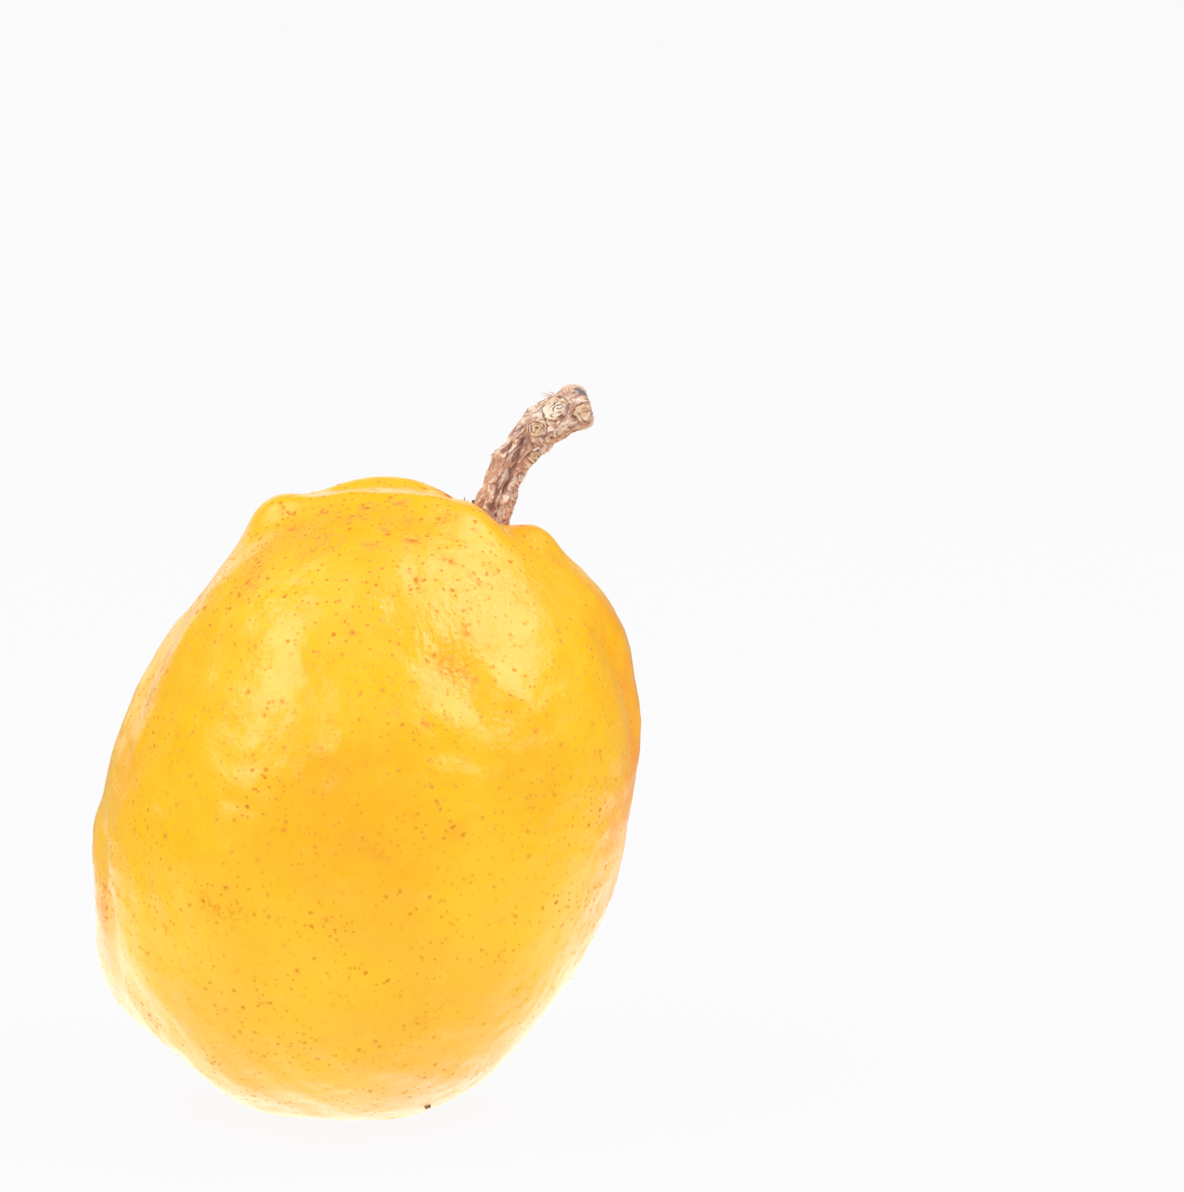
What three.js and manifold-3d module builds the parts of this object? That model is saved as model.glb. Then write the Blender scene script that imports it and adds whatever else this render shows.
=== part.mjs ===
// A jocote as picked: a lumpy yellow plum-like fruit, the bent woody stem it hung from, and the dry calyx at
// the stem's foot.
// Millimetres, +Z up. -Y is the front and +X the side that the stem stands on. The origin is on the small flat
// spot that the fruit rests on, under its middle.
// A place on the fruit is a direction from its middle: a bearing round it, 0 at the front and 90 at +X, and a
// height above the middle, both in degrees.

import * as THREE from 'three';
import { mergeVertices } from 'three/addons/utils/BufferGeometryUtils.js';
import Module from 'manifold-3d';

const wasm = await Module();
wasm.setup();

// The fruit's size
const MIDDLE = new THREE.Vector3(0, 0, 20.4);
const HALF_WIDTH = 16.85;
const HALF_DEPTH = 16.4;
const HALF_HEIGHT = 20.6;
const SQUARENESS = 2.2; // 2 is an ellipsoid, and more is boxier
const LEAN = 16; // degrees that the long axis leans, its top towards +X
const FRUIT_DETAIL = 21;

// Round lumps and hollows: where they are, how far they rise in mm, and how wide they spread in degrees
const SWELLS = [
  { name: 'upper right cheek', at: [88, 39], rise: 0.95, spread: 12.5 },
  { name: 'left shoulder', at: [-86, 73], rise: 1.15, spread: 4.5 },
  { name: 'rim of the left shoulder', at: [-115, 80.5], rise: 0.32, spread: 4.2 },
  { name: 'far shoulder', at: [172, 73], rise: 1.04, spread: 8.3 },
  { name: 'right end of the far shoulder', at: [128, 75], rise: 0.3, spread: 4.5 },
  { name: 'end of the near shoulder', at: [61, 68], rise: 0.85, spread: 5 },
  { name: 'left flank hollow', at: [-90, 49.5], rise: -0.95, spread: 12.5 },
  { name: 'left corner', at: [-92, -8], rise: 0.75, spread: 8 },
  { name: 'lower left hollow', at: [-86, -56], rise: -0.55, spread: 5 },
  { name: 'bottom left lobe', at: [-80, -69], rise: 0.75, spread: 8 },
  { name: 'lower right flank', at: [80, -50], rise: -0.2, spread: 11.5 },
  { name: 'right corner', at: [88, 18], rise: 0.3, spread: 5 },
  { name: 'front dimple', at: [26, 36], rise: -0.5, spread: 5 },
  { name: 'stem seat', at: [94, 66], rise: -0.8, spread: 5.5 },
  { name: 'lip left of the stem', at: [79, 70.5], rise: 0.5, spread: 3 },
  { name: 'lip right of the stem', at: [86, 59.5], rise: 1.05, spread: 4 },
  { name: 'back cheek', at: [150, 10], rise: 0.7, spread: 14 },
  { name: 'back hollow', at: [-170, 35], rise: -0.5, spread: 10 },
  { name: 'back left cheek', at: [-140, -15], rise: 0.5, spread: 12 },
  { name: 'low back hollow', at: [165, -40], rise: -0.45, spread: 9 },
  { name: 'foot', at: [75, -82], rise: 0.35, spread: 8 },
];

// Long folds, ridges and creases that run from one place to another
const FOLDS = [
  { name: 'lower left lobe', from: [-132, -30], to: [-94, -35], rise: 1.75, spread: 9.5 },
  { name: 'near shoulder ridge', from: [-76, 70.5], to: [48, 74.5], rise: 0.56, spread: 2.9 },
  { name: 'flat behind the shoulder', from: [-100, 82], to: [90, 80], rise: 0.1, spread: 4.5 },
  { name: 'notch at the stem', from: [94, 65], to: [76, 63], rise: -0.3, spread: 3.5 },
  { name: 'front left ridge', from: [-18, 42], to: [-30, 0], rise: 0.4, spread: 7 },
  { name: 'lower left crease', from: [-76, -6], to: [-62, -40], rise: -0.5, spread: 4 },
  { name: 'right crease', from: [74, 36], to: [80, 18], rise: -0.35, spread: 3 },
  { name: 'left crease', from: [-76, 40], to: [-66, 26], rise: -0.3, spread: 3.5 },
  { name: 'back ridge', from: [178, 62], to: [-150, 10], rise: 0.45, spread: 7 },
  { name: 'right back crease', from: [112, 48], to: [122, 0], rise: -0.35, spread: 5 },
];

// Low waves all over the skin
const WAVE_RISE = 0.11;

// The dry style tip near the bottom
const STYLE_AT = [34, -69];
const STYLE_RADIUS = 0.6;
const STYLE_RISE = 0.25;
const STYLE_SUNK = 0.8;

// The stem's centre line, a Bezier curve in the plane y = STEM_Y
const STEM_Y = -0.3;
const STEM_FOOT = [8.1, 37.4];
const STEM_LOW = [8.15, 42.1];
const STEM_HIGH = [10.5, 45.5];
const STEM_END = [14.52, 46.72];
const STEM_RADIUS_LOW = 1.1;
const STEM_RADIUS_HIGH = 1.32;
const STEM_ROUND_END = 0.35; // length over which the broken end rounds off
const STEM_SIDES = 36;
const STEM_STEPS = 70;

// On the stem, a place is a length along it and an angle round it, 0 at the front and 90 at the upper left
const KNOBS = [
  { name: 'left knob', along: 5.7, angle: 84, rise: 0.32, spread: 0.4 },
  { name: 'swollen node', along: 9.1, angle: 100, rise: 0.14, spread: 0.8 },
  { name: 'end bump', along: 11.2, angle: 72, rise: 0.3, spread: 0.42 },
  { name: 'foot flare', along: 2.2, angle: 95, rise: 0.22, spread: 0.8 },
  { name: 'right step', along: 3.3, angle: -80, rise: 0.12, spread: 0.6 },
  { name: 'neck below the node', along: 6.2, angle: 100, rise: -0.15, spread: 0.5 },
  { name: 'back knob', along: 6.4, angle: 190, rise: 0.35, spread: 0.5 },
  { name: 'end lip', along: 11.5, angle: -70, rise: 0.2, spread: 0.5 },
  { name: 'low blister', along: 5.15, angle: -57, rise: 0.12, spread: 0.3 },
];
const SCARS = [
  { name: 'large leaf scar', along: 10.1, angle: 32, radius: 0.68 },
  { name: 'middle leaf scar', along: 8.55, angle: 15, radius: 0.5 },
  { name: 'end scar', along: 11.65, angle: -16, radius: 0.48 },
  { name: 'small upper scar', along: 8.85, angle: -36, radius: 0.3 },
  { name: 'side scar', along: 7, angle: -51, radius: 0.38 },
  { name: 'back scar', along: 8.9, angle: 200, radius: 0.6 },
  { name: 'lower back scar', along: 4.4, angle: 165, radius: 0.45 },
];
const SCAR_LIP_RISE = 0.13;
const SCAR_LIP_WIDTH = 0.17;
const SCAR_PIT_DEPTH = 0.14;
const FURROWS = [
  { name: 'front furrow', from: [2.2, -8], to: [5.4, -22], depth: 0.16, width: 0.2 },
  { name: 'middle furrow', from: [5.6, -17], to: [7.7, 27], depth: 0.18, width: 0.26 },
  { name: 'upper furrow', from: [6.5, 52], to: [9.6, 62], depth: 0.13, width: 0.2 },
  { name: 'back furrow', from: [2, 150], to: [7.6, 215], depth: 0.15, width: 0.22 },
];
const BARK_RISE = 0.05;

// The calyx, a broken dry collar with three lobes, which clasps the stem's foot at the left and back
const CALYX_MIDDLE = new THREE.Vector3(8.15, -0.3, 39);
const CALYX_TILT = 22; // degrees that its plane faces towards +X
const CALYX_CORE = 1;
const CALYX_RING = 1.95;
const CALYX_KEPT = { angle: 108, halfWidth: 64 };
const CALYX_THICKNESS = 0.6;
const CALYX_LOBES = [
  { angle: 158, length: 0.15, halfWidth: 16 },
  { angle: 124, length: 0.6, halfWidth: 28 },
  { angle: 74, length: 0.45, halfWidth: 30 },
];
const CALYX_CURL = 0.2; // how far the tips of the lobes curl up
const CALYX_STEPS = 72;

const GAP = 0.3; // between neighbours

const fruitFinish = new THREE.MeshStandardMaterial({ color: 0xffbe2e, roughness: 0.35, metalness: 0 });
const barkFinish = new THREE.MeshStandardMaterial({ color: 0xb08a6c, roughness: 0.85, metalness: 0 });
const calyxFinish = new THREE.MeshStandardMaterial({ color: 0x5c3f33, roughness: 0.9, metalness: 0 });

const radians = THREE.MathUtils.degToRad;

// The turn from one angle to another, between -180 and 180 degrees
function turnBetween(angle, otherAngle) {
  return THREE.MathUtils.euclideanModulo(angle - otherAngle + 180, 360) - 180;
}

function bell(distance, spread) {
  return Math.exp(-(distance * distance) / (2 * spread * spread));
}

// The direction of a place on the fruit
function toward([bearing, height]) {
  const b = radians(bearing);
  const h = radians(height);
  return new THREE.Vector3(Math.sin(b) * Math.cos(h), -Math.cos(b) * Math.cos(h), Math.sin(h));
}

// How far the leaning, slightly boxy body reaches in a direction
function bodyRadius(direction) {
  const lean = radians(LEAN);
  const across = direction.x * Math.cos(lean) - direction.z * Math.sin(lean);
  const along = direction.x * Math.sin(lean) + direction.z * Math.cos(lean);
  const sum = (Math.abs(across) / HALF_WIDTH) ** SQUARENESS
    + (Math.abs(direction.y) / HALF_DEPTH) ** SQUARENESS
    + (Math.abs(along) / HALF_HEIGHT) ** SQUARENESS;
  return sum ** (-1 / SQUARENESS);
}

function swellRise(direction, swell) {
  const distance = direction.distanceTo(toward(swell.at));
  return swell.rise * bell(distance, radians(swell.spread));
}

function foldRise(direction, fold) {
  const start = toward(fold.from);
  const run = toward(fold.to).sub(start);
  const share = direction.clone().sub(start).dot(run) / run.lengthSq();
  const nearest = start.addScaledVector(run, THREE.MathUtils.clamp(share, 0, 1)).normalize();
  return fold.rise * bell(direction.distanceTo(nearest), radians(fold.spread));
}

// Three crossed sets of waves, with wavelengths of 7 to 15 mm on the skin
function waveRise({ x, y, z }) {
  const broad = Math.sin(8.3 * x + 1.9 * z + 0.4) * Math.sin(7.1 * y - 2.3 * z + 1.7);
  const middle = Math.sin(11.9 * z + 3.1 * y + 2.6) * Math.sin(9.7 * x - 4.3 * y + 0.9);
  const fine = Math.sin(16.1 * y + 5.3 * x + 3.8) * Math.sin(14.3 * z - 6.7 * x + 5.1);
  return WAVE_RISE * (broad + 0.6 * middle + 0.35 * fine);
}

function fruitRadius(direction) {
  let radius = bodyRadius(direction) + waveRise(direction);
  for (const swell of SWELLS) {
    radius += swellRise(direction, swell);
  }
  for (const fold of FOLDS) {
    radius += foldRise(direction, fold);
  }
  return radius;
}

// The point on the fruit's skin in a direction, raised by a height
function skinPoint(direction, raised = 0) {
  return direction.clone().multiplyScalar(fruitRadius(direction) + raised).add(MIDDLE);
}

// A closed geometry's vertices, moved one by one
function reshape(geometry, move) {
  const bare = geometry.clone();
  bare.deleteAttribute('normal');
  bare.deleteAttribute('uv');
  const merged = mergeVertices(bare, 1e-4);
  const places = merged.getAttribute('position');
  const point = new THREE.Vector3();
  for (let i = 0; i < places.count; i += 1) {
    point.fromBufferAttribute(places, i);
    const moved = move(point);
    places.setXYZ(i, moved.x, moved.y, moved.z);
  }
  return merged;
}

function solidOf(geometry) {
  return new wasm.Manifold(new wasm.Mesh({
    numProp: 3,
    vertProperties: Float32Array.from(geometry.getAttribute('position').array),
    triVerts: Uint32Array.from(geometry.getIndex().array),
  }));
}

function geometryOf(solid) {
  const mesh = solid.getMesh();
  const geometry = new THREE.BufferGeometry();
  geometry.setAttribute('position', new THREE.BufferAttribute(mesh.vertProperties, 3));
  geometry.setIndex(new THREE.BufferAttribute(mesh.triVerts, 1));
  return geometry;
}

// The whole round body, before its foot is flattened
function fruitBody(raised) {
  const ball = new THREE.IcosahedronGeometry(1, FRUIT_DETAIL);
  return solidOf(reshape(ball, (point) => skinPoint(point.clone().normalize(), raised)));
}

function styleTip() {
  const length = STYLE_RISE + STYLE_SUNK;
  const direction = toward(STYLE_AT);
  const turn = new THREE.Quaternion().setFromUnitVectors(new THREE.Vector3(0, 1, 0), direction);
  const middle = skinPoint(direction, STYLE_RISE - length / 2);
  const cone = new THREE.CylinderGeometry(STYLE_RADIUS * 0.5, STYLE_RADIUS, length, 10);
  return solidOf(reshape(cone, (point) => point.clone().applyQuaternion(turn).add(middle)));
}

function fruitGeometry() {
  const room = 2 * (HALF_HEIGHT + HALF_DEPTH);
  const aboveFloor = new THREE.BoxGeometry(room, room, room);
  const box = solidOf(reshape(aboveFloor, (point) => point.clone().setZ(point.z + room / 2)));
  return geometryOf(fruitBody(0).add(styleTip()).intersect(box));
}

const stemCurve = new THREE.CubicBezierCurve3(
  ...[STEM_FOOT, STEM_LOW, STEM_HIGH, STEM_END].map(([x, z]) => new THREE.Vector3(x, STEM_Y, z)),
);
const STEM_LENGTH = stemCurve.getLength();

// The distance on the bark between two places, each a length along the stem and an angle round it
function barkDistance([along, angle], [otherAlong, otherAngle], radius) {
  return Math.hypot(along - otherAlong, radians(turnBetween(angle, otherAngle)) * radius);
}

function scarRise(distance, radius) {
  const lip = SCAR_LIP_RISE * bell(distance - radius, SCAR_LIP_WIDTH);
  return lip - SCAR_PIT_DEPTH * bell(distance, radius * 0.5);
}

function furrowRise(place, furrow, radius) {
  const [fromAlong, fromAngle] = furrow.from;
  const [toAlong, toAngle] = furrow.to;
  const share = THREE.MathUtils.clamp((place[0] - fromAlong) / (toAlong - fromAlong), 0, 1);
  const nearest = [
    THREE.MathUtils.lerp(fromAlong, toAlong, share),
    THREE.MathUtils.lerp(fromAngle, toAngle, share),
  ];
  return -furrow.depth * bell(barkDistance(place, nearest, radius), furrow.width);
}

// Lengthwise ridges that wander round the stem, and rings across it
function barkRise(along, angle) {
  const a = radians(angle);
  const ridges = Math.sin(6 * a + 1.1 * along + 0.6) + 0.7 * Math.sin(9 * a - 1.7 * along + 2.2);
  const rings = Math.sin(4.3 * along + 1.5 * Math.sin(a + 0.4));
  return BARK_RISE * (ridges + 0.6 * rings);
}

function stemRadius(along, angle) {
  const share = THREE.MathUtils.smoothstep(along, STEM_LENGTH * 0.35, STEM_LENGTH * 0.8);
  const plain = THREE.MathUtils.lerp(STEM_RADIUS_LOW, STEM_RADIUS_HIGH, share);
  const place = [along, angle];
  let radius = plain + barkRise(along, angle);
  for (const knob of KNOBS) {
    radius += knob.rise * bell(barkDistance(place, [knob.along, knob.angle], plain), knob.spread);
  }
  for (const scar of SCARS) {
    radius += scarRise(barkDistance(place, [scar.along, scar.angle], plain), scar.radius);
  }
  for (const furrow of FURROWS) {
    radius += furrowRise(place, furrow, plain);
  }
  const fromEnd = Math.max(0, along - (STEM_LENGTH - STEM_ROUND_END)) / STEM_ROUND_END;
  return radius * (1 - 0.28 * fromEnd * fromEnd);
}

// An upright cylinder of radius 1 and height 1, bent along the stem's curve and swelled to its bark
function stemBody(raised) {
  const rod = new THREE.CylinderGeometry(1, 1, 1, STEM_SIDES, STEM_STEPS);
  return solidOf(reshape(rod, (point) => {
    const share = point.y + 0.5;
    const onRim = Math.min(1, Math.hypot(point.x, point.z));
    const angle = THREE.MathUtils.radToDeg(Math.atan2(-point.x, point.z));
    const middle = stemCurve.getPointAt(share);
    const forward = stemCurve.getTangentAt(share);
    const upperLeft = new THREE.Vector3(-forward.z, 0, forward.x);
    const outward = upperLeft.multiplyScalar(Math.sin(radians(angle)));
    outward.y = -Math.cos(radians(angle));
    const radius = onRim * (stemRadius(share * STEM_LENGTH, angle) + raised);
    return middle.clone().addScaledVector(outward, radius);
  }));
}

function stemGeometry() {
  return geometryOf(stemBody(0).subtract(fruitBody(GAP)));
}

// How far the calyx reaches at an angle round the stem, 0 towards +X and 90 towards the back
function calyxReach(angle) {
  const edge = CALYX_KEPT.halfWidth - Math.abs(turnBetween(angle, CALYX_KEPT.angle));
  let reach = THREE.MathUtils.lerp(CALYX_CORE, CALYX_RING, THREE.MathUtils.smoothstep(edge, 0, 15));
  for (const lobe of CALYX_LOBES) {
    const inside = Math.max(0, 1 - Math.abs(turnBetween(angle, lobe.angle)) / lobe.halfWidth);
    reach += lobe.length * inside ** 0.75;
  }
  return reach;
}

// The calyx's outline, laid over the skin and thickened away from it, with the stem's hole cut through
function calyxGeometry() {
  const outline = [];
  for (let i = 0; i < CALYX_STEPS; i += 1) {
    const angle = (360 * i) / CALYX_STEPS;
    const reach = calyxReach(angle);
    outline.push(new THREE.Vector2(reach * Math.cos(radians(angle)), reach * Math.sin(radians(angle))));
  }
  const plate = new THREE.ExtrudeGeometry(new THREE.Shape(outline), { depth: 1, bevelEnabled: false });
  const tilt = new THREE.Euler(0, radians(CALYX_TILT), 0);
  const longest = CALYX_RING + Math.max(...CALYX_LOBES.map((lobe) => lobe.length));
  const draped = reshape(plate, (point) => {
    const spot = new THREE.Vector3(point.x, point.y, 0);
    const curl = CALYX_CURL * THREE.MathUtils.smoothstep(spot.length(), CALYX_RING, longest);
    const direction = spot.applyEuler(tilt).add(CALYX_MIDDLE).sub(MIDDLE).normalize();
    return skinPoint(direction, GAP + curl + point.z * CALYX_THICKNESS);
  });
  return geometryOf(solidOf(draped).subtract(stemBody(GAP)).subtract(fruitBody(GAP)));
}

function named(name, geometry, finish) {
  const mesh = new THREE.Mesh(geometry, finish);
  mesh.name = name;
  return mesh;
}

const jocote = new THREE.Group();
jocote.name = 'jocote';
jocote.add(
  named('fruit', fruitGeometry(), fruitFinish),
  named('stem', stemGeometry(), barkFinish),
  named('calyx', calyxGeometry(), calyxFinish),
);

export default jocote;
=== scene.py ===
"""A ripe jocote as picked, with its bent woody stem, on a white table.

Shapes are worked out in millimetres, +Z up, and put into Blender in metres. A place on the fruit is a
direction from its middle: a bearing round it, 0 at the front and 90 at +X, and a height above the middle, in
degrees. A place on the stem is a length along it in mm and an angle round it in degrees, 0 at the front and
90 at the upper left.
"""

import bpy
import numpy as np
from bpy.props import FloatProperty, FloatVectorProperty, PointerProperty
from mathutils import Matrix, Vector


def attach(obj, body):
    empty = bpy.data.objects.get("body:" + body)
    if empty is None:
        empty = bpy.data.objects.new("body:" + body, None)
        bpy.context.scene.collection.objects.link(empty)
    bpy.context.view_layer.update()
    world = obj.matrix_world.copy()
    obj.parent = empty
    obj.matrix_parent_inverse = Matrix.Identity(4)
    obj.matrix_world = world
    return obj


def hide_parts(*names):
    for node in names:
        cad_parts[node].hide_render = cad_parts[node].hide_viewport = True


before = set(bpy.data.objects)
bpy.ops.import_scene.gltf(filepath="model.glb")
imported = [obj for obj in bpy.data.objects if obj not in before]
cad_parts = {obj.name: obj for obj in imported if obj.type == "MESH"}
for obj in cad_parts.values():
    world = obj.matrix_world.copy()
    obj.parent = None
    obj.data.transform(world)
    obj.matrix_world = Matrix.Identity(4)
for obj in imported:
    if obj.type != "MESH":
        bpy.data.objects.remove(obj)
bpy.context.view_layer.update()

bl_info = {
    "name": "Jocote",
    "version": (1, 0, 0),
    "blender": (4, 5, 0),
    "location": "View3D > Sidebar > Jocote",
    "description": "Builds a ripe jocote with its stem, and a white table to show it on",
    "category": "Add Mesh",
}

MM = 0.001

# The fruit's form, from its middle outwards
MIDDLE = np.array([0.0, 0.0, 20.4])
SQUARENESS = 2.2

# Swells and hollows: the place of each, its rise in mm, and how wide it spreads in degrees
SWELLS = (
    ("upper right cheek", (88, 39), 0.95, 12.5),
    ("left shoulder", (-86, 73), 1.15, 4.5),
    ("rim of the left shoulder", (-115, 80.5), 0.32, 4.2),
    ("far shoulder", (172, 73), 1.04, 8.3),
    ("right end of the far shoulder", (128, 75), 0.3, 4.5),
    ("end of the near shoulder", (61, 68), 0.85, 5),
    ("left flank hollow", (-90, 49.5), -0.95, 12.5),
    ("left corner", (-92, -8), 0.75, 8),
    ("lower left hollow", (-86, -56), -0.55, 5),
    ("bottom left lobe", (-80, -69), 0.75, 8),
    ("lower right flank", (80, -50), -0.2, 11.5),
    ("right corner", (88, 18), 0.3, 5),
    ("front dimple", (26, 36), -0.5, 5),
    ("stem seat", (94, 66), -0.8, 5.5),
    ("lip left of the stem", (79, 70.5), 0.5, 3),
    ("lip right of the stem", (86, 59.5), 1.05, 4),
    ("back cheek", (150, 10), 0.7, 14),
    ("back hollow", (-170, 35), -0.5, 10),
    ("back left cheek", (-140, -15), 0.5, 12),
    ("low back hollow", (165, -40), -0.45, 9),
    ("foot", (75, -82), 0.35, 8),
)
# Long folds, in the same way but between two places
FOLDS = (
    ("lower left lobe", (-132, -30), (-94, -35), 1.75, 9.5),
    ("near shoulder ridge", (-76, 70.5), (48, 74.5), 0.56, 2.9),
    ("flat behind the shoulder", (-100, 82), (90, 80), 0.1, 4.5),
    ("notch at the stem", (94, 65), (76, 63), -0.3, 3.5),
    ("front left ridge", (-18, 42), (-30, 0), 0.4, 7),
    ("lower left crease", (-76, -6), (-62, -40), -0.5, 4),
    ("right crease", (74, 36), (80, 18), -0.35, 3),
    ("left crease", (-76, 40), (-66, 26), -0.3, 3.5),
    ("back ridge", (178, 62), (-150, 10), 0.45, 7),
    ("right back crease", (112, 48), (122, 0), -0.35, 5),
)
WAVE_RISE = 0.11
# Crossed waves with lengths of 7 to 15 mm on the skin: how strong each pair is, and for both of its waves how
# fast they run along X, Y and Z, in radians over the distance from the middle, and where they start
WAVES = (
    (1.0, (8.3, 0, 1.9, 0.4), (0, 7.1, -2.3, 1.7)),
    (0.6, (0, 3.1, 11.9, 2.6), (9.7, -4.3, 0, 0.9)),
    (0.35, (5.3, 16.1, 0, 3.8), (-6.7, 0, 14.3, 5.1)),
)

# Finer relief of the skin, which its sheen picks out, as folds are given above
SKIN_FOLDS = (
    ("upper edge of the left flank", (-62, 56), (-55.5, 42), 0.15, 3.0),
    ("lower edge of the left flank", (-55.5, 42), (-61, 20), 0.15, 3.0),
    ("knuckle on the left flank", (-57, 42), (-56, 39), 0.07, 2.4),
    ("dip behind the knuckle", (-68, 44), (-70, 28), -0.1, 4.0),
    ("crest of the near shoulder", (-70, 71.5), (46, 75), 0.09, 1.3),
    ("step before the far shoulder", (-123, 83.4), (108, 79.7), -0.2, 2.6),
    ("foot of that step", (-130, 82.8), (118, 79.6), -0.12, 1.3),
    ("brow of the far shoulder", (-150, 81), (136, 79), 0.12, 1.5),
    ("upper bump in the left sheen", (-15, 42), (-11, 37), 0.05, 1.9),
    ("dip under it", (-14, 33), (-12, 32), -0.04, 1.5),
    ("lower bump in the left sheen", (-14, 29.5), (-14, 28), 0.05, 1.5),
    ("left swell of the cheek", (-22, 24), (-26, 12), 0.08, 4.0),
    ("right fold below the dimple", (34, 32.5), (43, 26.5), 0.16, 2.3),
    ("left fold below the dimple", (14, 26), (22, 25.5), 0.1, 2.6),
    ("brow of the dimple", (16, 43), (34, 44), 0.06, 3.0),
    ("floor of the dimple", (24, 37.5), (29, 35), -0.12, 2.0),
    ("right front swell", (52, 44), (58, 30), 0.08, 4.5),
    ("end of the lower left crease", (-68, -27), (-62, -42), 0.36, 4.2),
    ("low front hollow", (-4, -22), (10, -30), -0.07, 6.0),
    ("low right swell", (38, -22), (30, -40), 0.09, 5.0),
    ("low left hollow", (-36, -30), (-48, -44), -0.08, 4.0),
    ("back left dip", (-120, 30), (-128, 12), -0.1, 4.0),
    ("back middle swell", (170, 20), (160, -5), 0.1, 5.0),
    ("back right dip", (120, -20), (132, -34), -0.1, 4.0),
)
# About how far from its middle the fruit's skin lies, in mm
SKIN_REACH = 18
# Wrinkles that run out from the dimple, and how far they sway in radians, over how many mm
DIMPLE = (26, 36)
DIMPLE_SPREAD = 4.2
WRINKLE_RISE = 0.0252
WRINKLE_COUNT = 17
WRINKLE_SWAY = 1.4
WRINKLE_SWAY_SIZE = 2.2
# Soft ripples all over: their length and rise in mm, and a seed
SKIN_RIPPLES = ((2.6, 0.027, 4), (1.25, 0.012, 5))
# How many plane waves any ripples are made of
RIPPLE_WAVES = 28

# Marks on the skin: where they lie, or start and end, how wide they spread in degrees, and their strength
CRUMPLES = ((DIMPLE, 3.2, 1.0),)
CREASES = (((22, 42), (34, 50), 4.5, 1.0),)
STREAKS = (
    ((19.4, 56.4), (20.2, 53.2), 0.5, 1.0),
    ((38.3, 55.2), (38.8, 52.4), 0.5, 0.75),
    ((29.4, 46.2), (30.1, 42.6), 0.45, 0.75),
    ((0, 76.9), (12, 76.6), 0.5, 1.0),
    ((24, 76.2), (33, 75.4), 0.5, 0.9),
    ((-24, 75), (-18, 75.6), 0.4, 0.6),
    ((11.6, 69.3), (12.4, 68.9), 0.55, 0.8),
    ((26.8, 71.6), (27.6, 70.4), 0.55, 0.8),
    ((9.4, 29.1), (9.6, 28.5), 0.42, 1.0),
    ((17.1, 19.6), (17.3, 19.0), 0.38, 1.0),
    ((112, 74.2), (121, 75.4), 0.75, 1.4),
    ((-14.2, 28.9), (-13.8, 28.5), 0.38, 0.8),
    ((148, 40), (150, 36), 0.6, 0.9),
    ((-160, 22), (-156, 20), 0.6, 0.8),
    ((2, 2), (7, -1), 1.6, 0.45),
    ((23, 38.6), (28.5, 34.4), 1.7, 0.6),
    ((-8, 22), (-6, 20), 1.0, 0.35),
    ((14, -38), (18, -40), 1.2, 0.3),
    ((-33, -11.5), (-27, -14.5), 2.2, 0.5),
    ((-79, -14), (-74, -16), 1.2, 0.7),
    ((15.6, 27.4), (16.4, 26.2), 0.6, 0.8),
    ((21, 27.4), (22, 26.8), 0.4, 0.7),
    ((-20, 63), (-12, 66), 2.0, 0.6),
    ((-44, 62), (-38, 55), 2.2, 0.6),
    ((-44, 71), (-38, 70.5), 0.9, 0.8),
    ((-6, 73.8), (2, 73.4), 0.9, 0.9),
    ((-22, 67.6), (-14, 67.8), 0.8, 0.8),
    ((2, 64.8), (9, 64.4), 1.0, 0.6),
    ((21, 65.2), (25, 64.6), 0.8, 0.9),
    ((-62, 73), (-52, 74), 0.5, 0.9),
    ((-34, 75.6), (-27, 76), 0.5, 1.0),
    ((31, 59.5), (34, 58.5), 0.7, 0.8),
    ((42, 69), (48, 68), 1.2, 0.7),
    ((112, 20), (120, 14), 2.6, 0.5),
)
# Orange blushes where the skin is ripest or bruised, as marks are given above. The first, down the right
# edge, is a painted reflection of a neighbouring orange fruit
BLUSHES_AND_REFLECTIONS = (
    ((88, 30), (76, -18), 10, 0.85),
    ((95, 66), (80, 64), 4, 0.7),
    ((-2, -4), (2, 15), 10, 0.3),
    ((-66, 34), (-62, 14), 5, 0.3),
    ((-80, -26), (-78, -19), 2.4, 0.5),
    ((-40, 66), (30, 71), 5, 0.25),
    ((140, 30), (160, -10), 14, 0.6),
    ((-150, 48), (-130, 24), 12, 0.5),
)
# Painted glow: the white light table mirrored and flaring round the underside and lower edges, a painted
# highlight on the lower left lobe and a faint painted sheen on the left flank, as marks are given above
PAINTED_GLOW_BANDS = (
    ((-94, -22), (-72, -48), 8, 0.3),
    ((-72, -48), (-10, -72), 7, 0.2),
    ((30, -66), (78, -42), 8, 0.3),
    ((110, -56), (-130, -58), 9, 0.25),
    ((-90, -12), (-83, -28), 3, 0.5),
    ((-60, 55), (-64, 30), 3, 0.15),
)
# How thickly pores lie: at the least, how much more from one height to another in degrees, and how much that
# varies, over how many mm
CROWD_LEAST = 0.45
CROWD_RISES = ((0.15, -40, 0), (0.75, 38, 68))
CROWD_VARIES = 0.16
CROWD_SIZE = 5
CROWD_LIMITS = (0.25, 1.4)

# Noises in the skin's colour and relief: the size of each one's clouds in mm, and how finely they break up
SKIN_NOISES = {
    "clouds": (11, 3),
    "drift": (4, 3),
    "ragged": (1.1, 3),
    "broken": (0.35, 2),
    "gloss": (3.0, 3),
    "peel": (1.3, 2),
    "grain": (0.32, 3),
    "crumbs": (0.45, 3),
    "shake": (0.3, 2),
}
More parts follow.
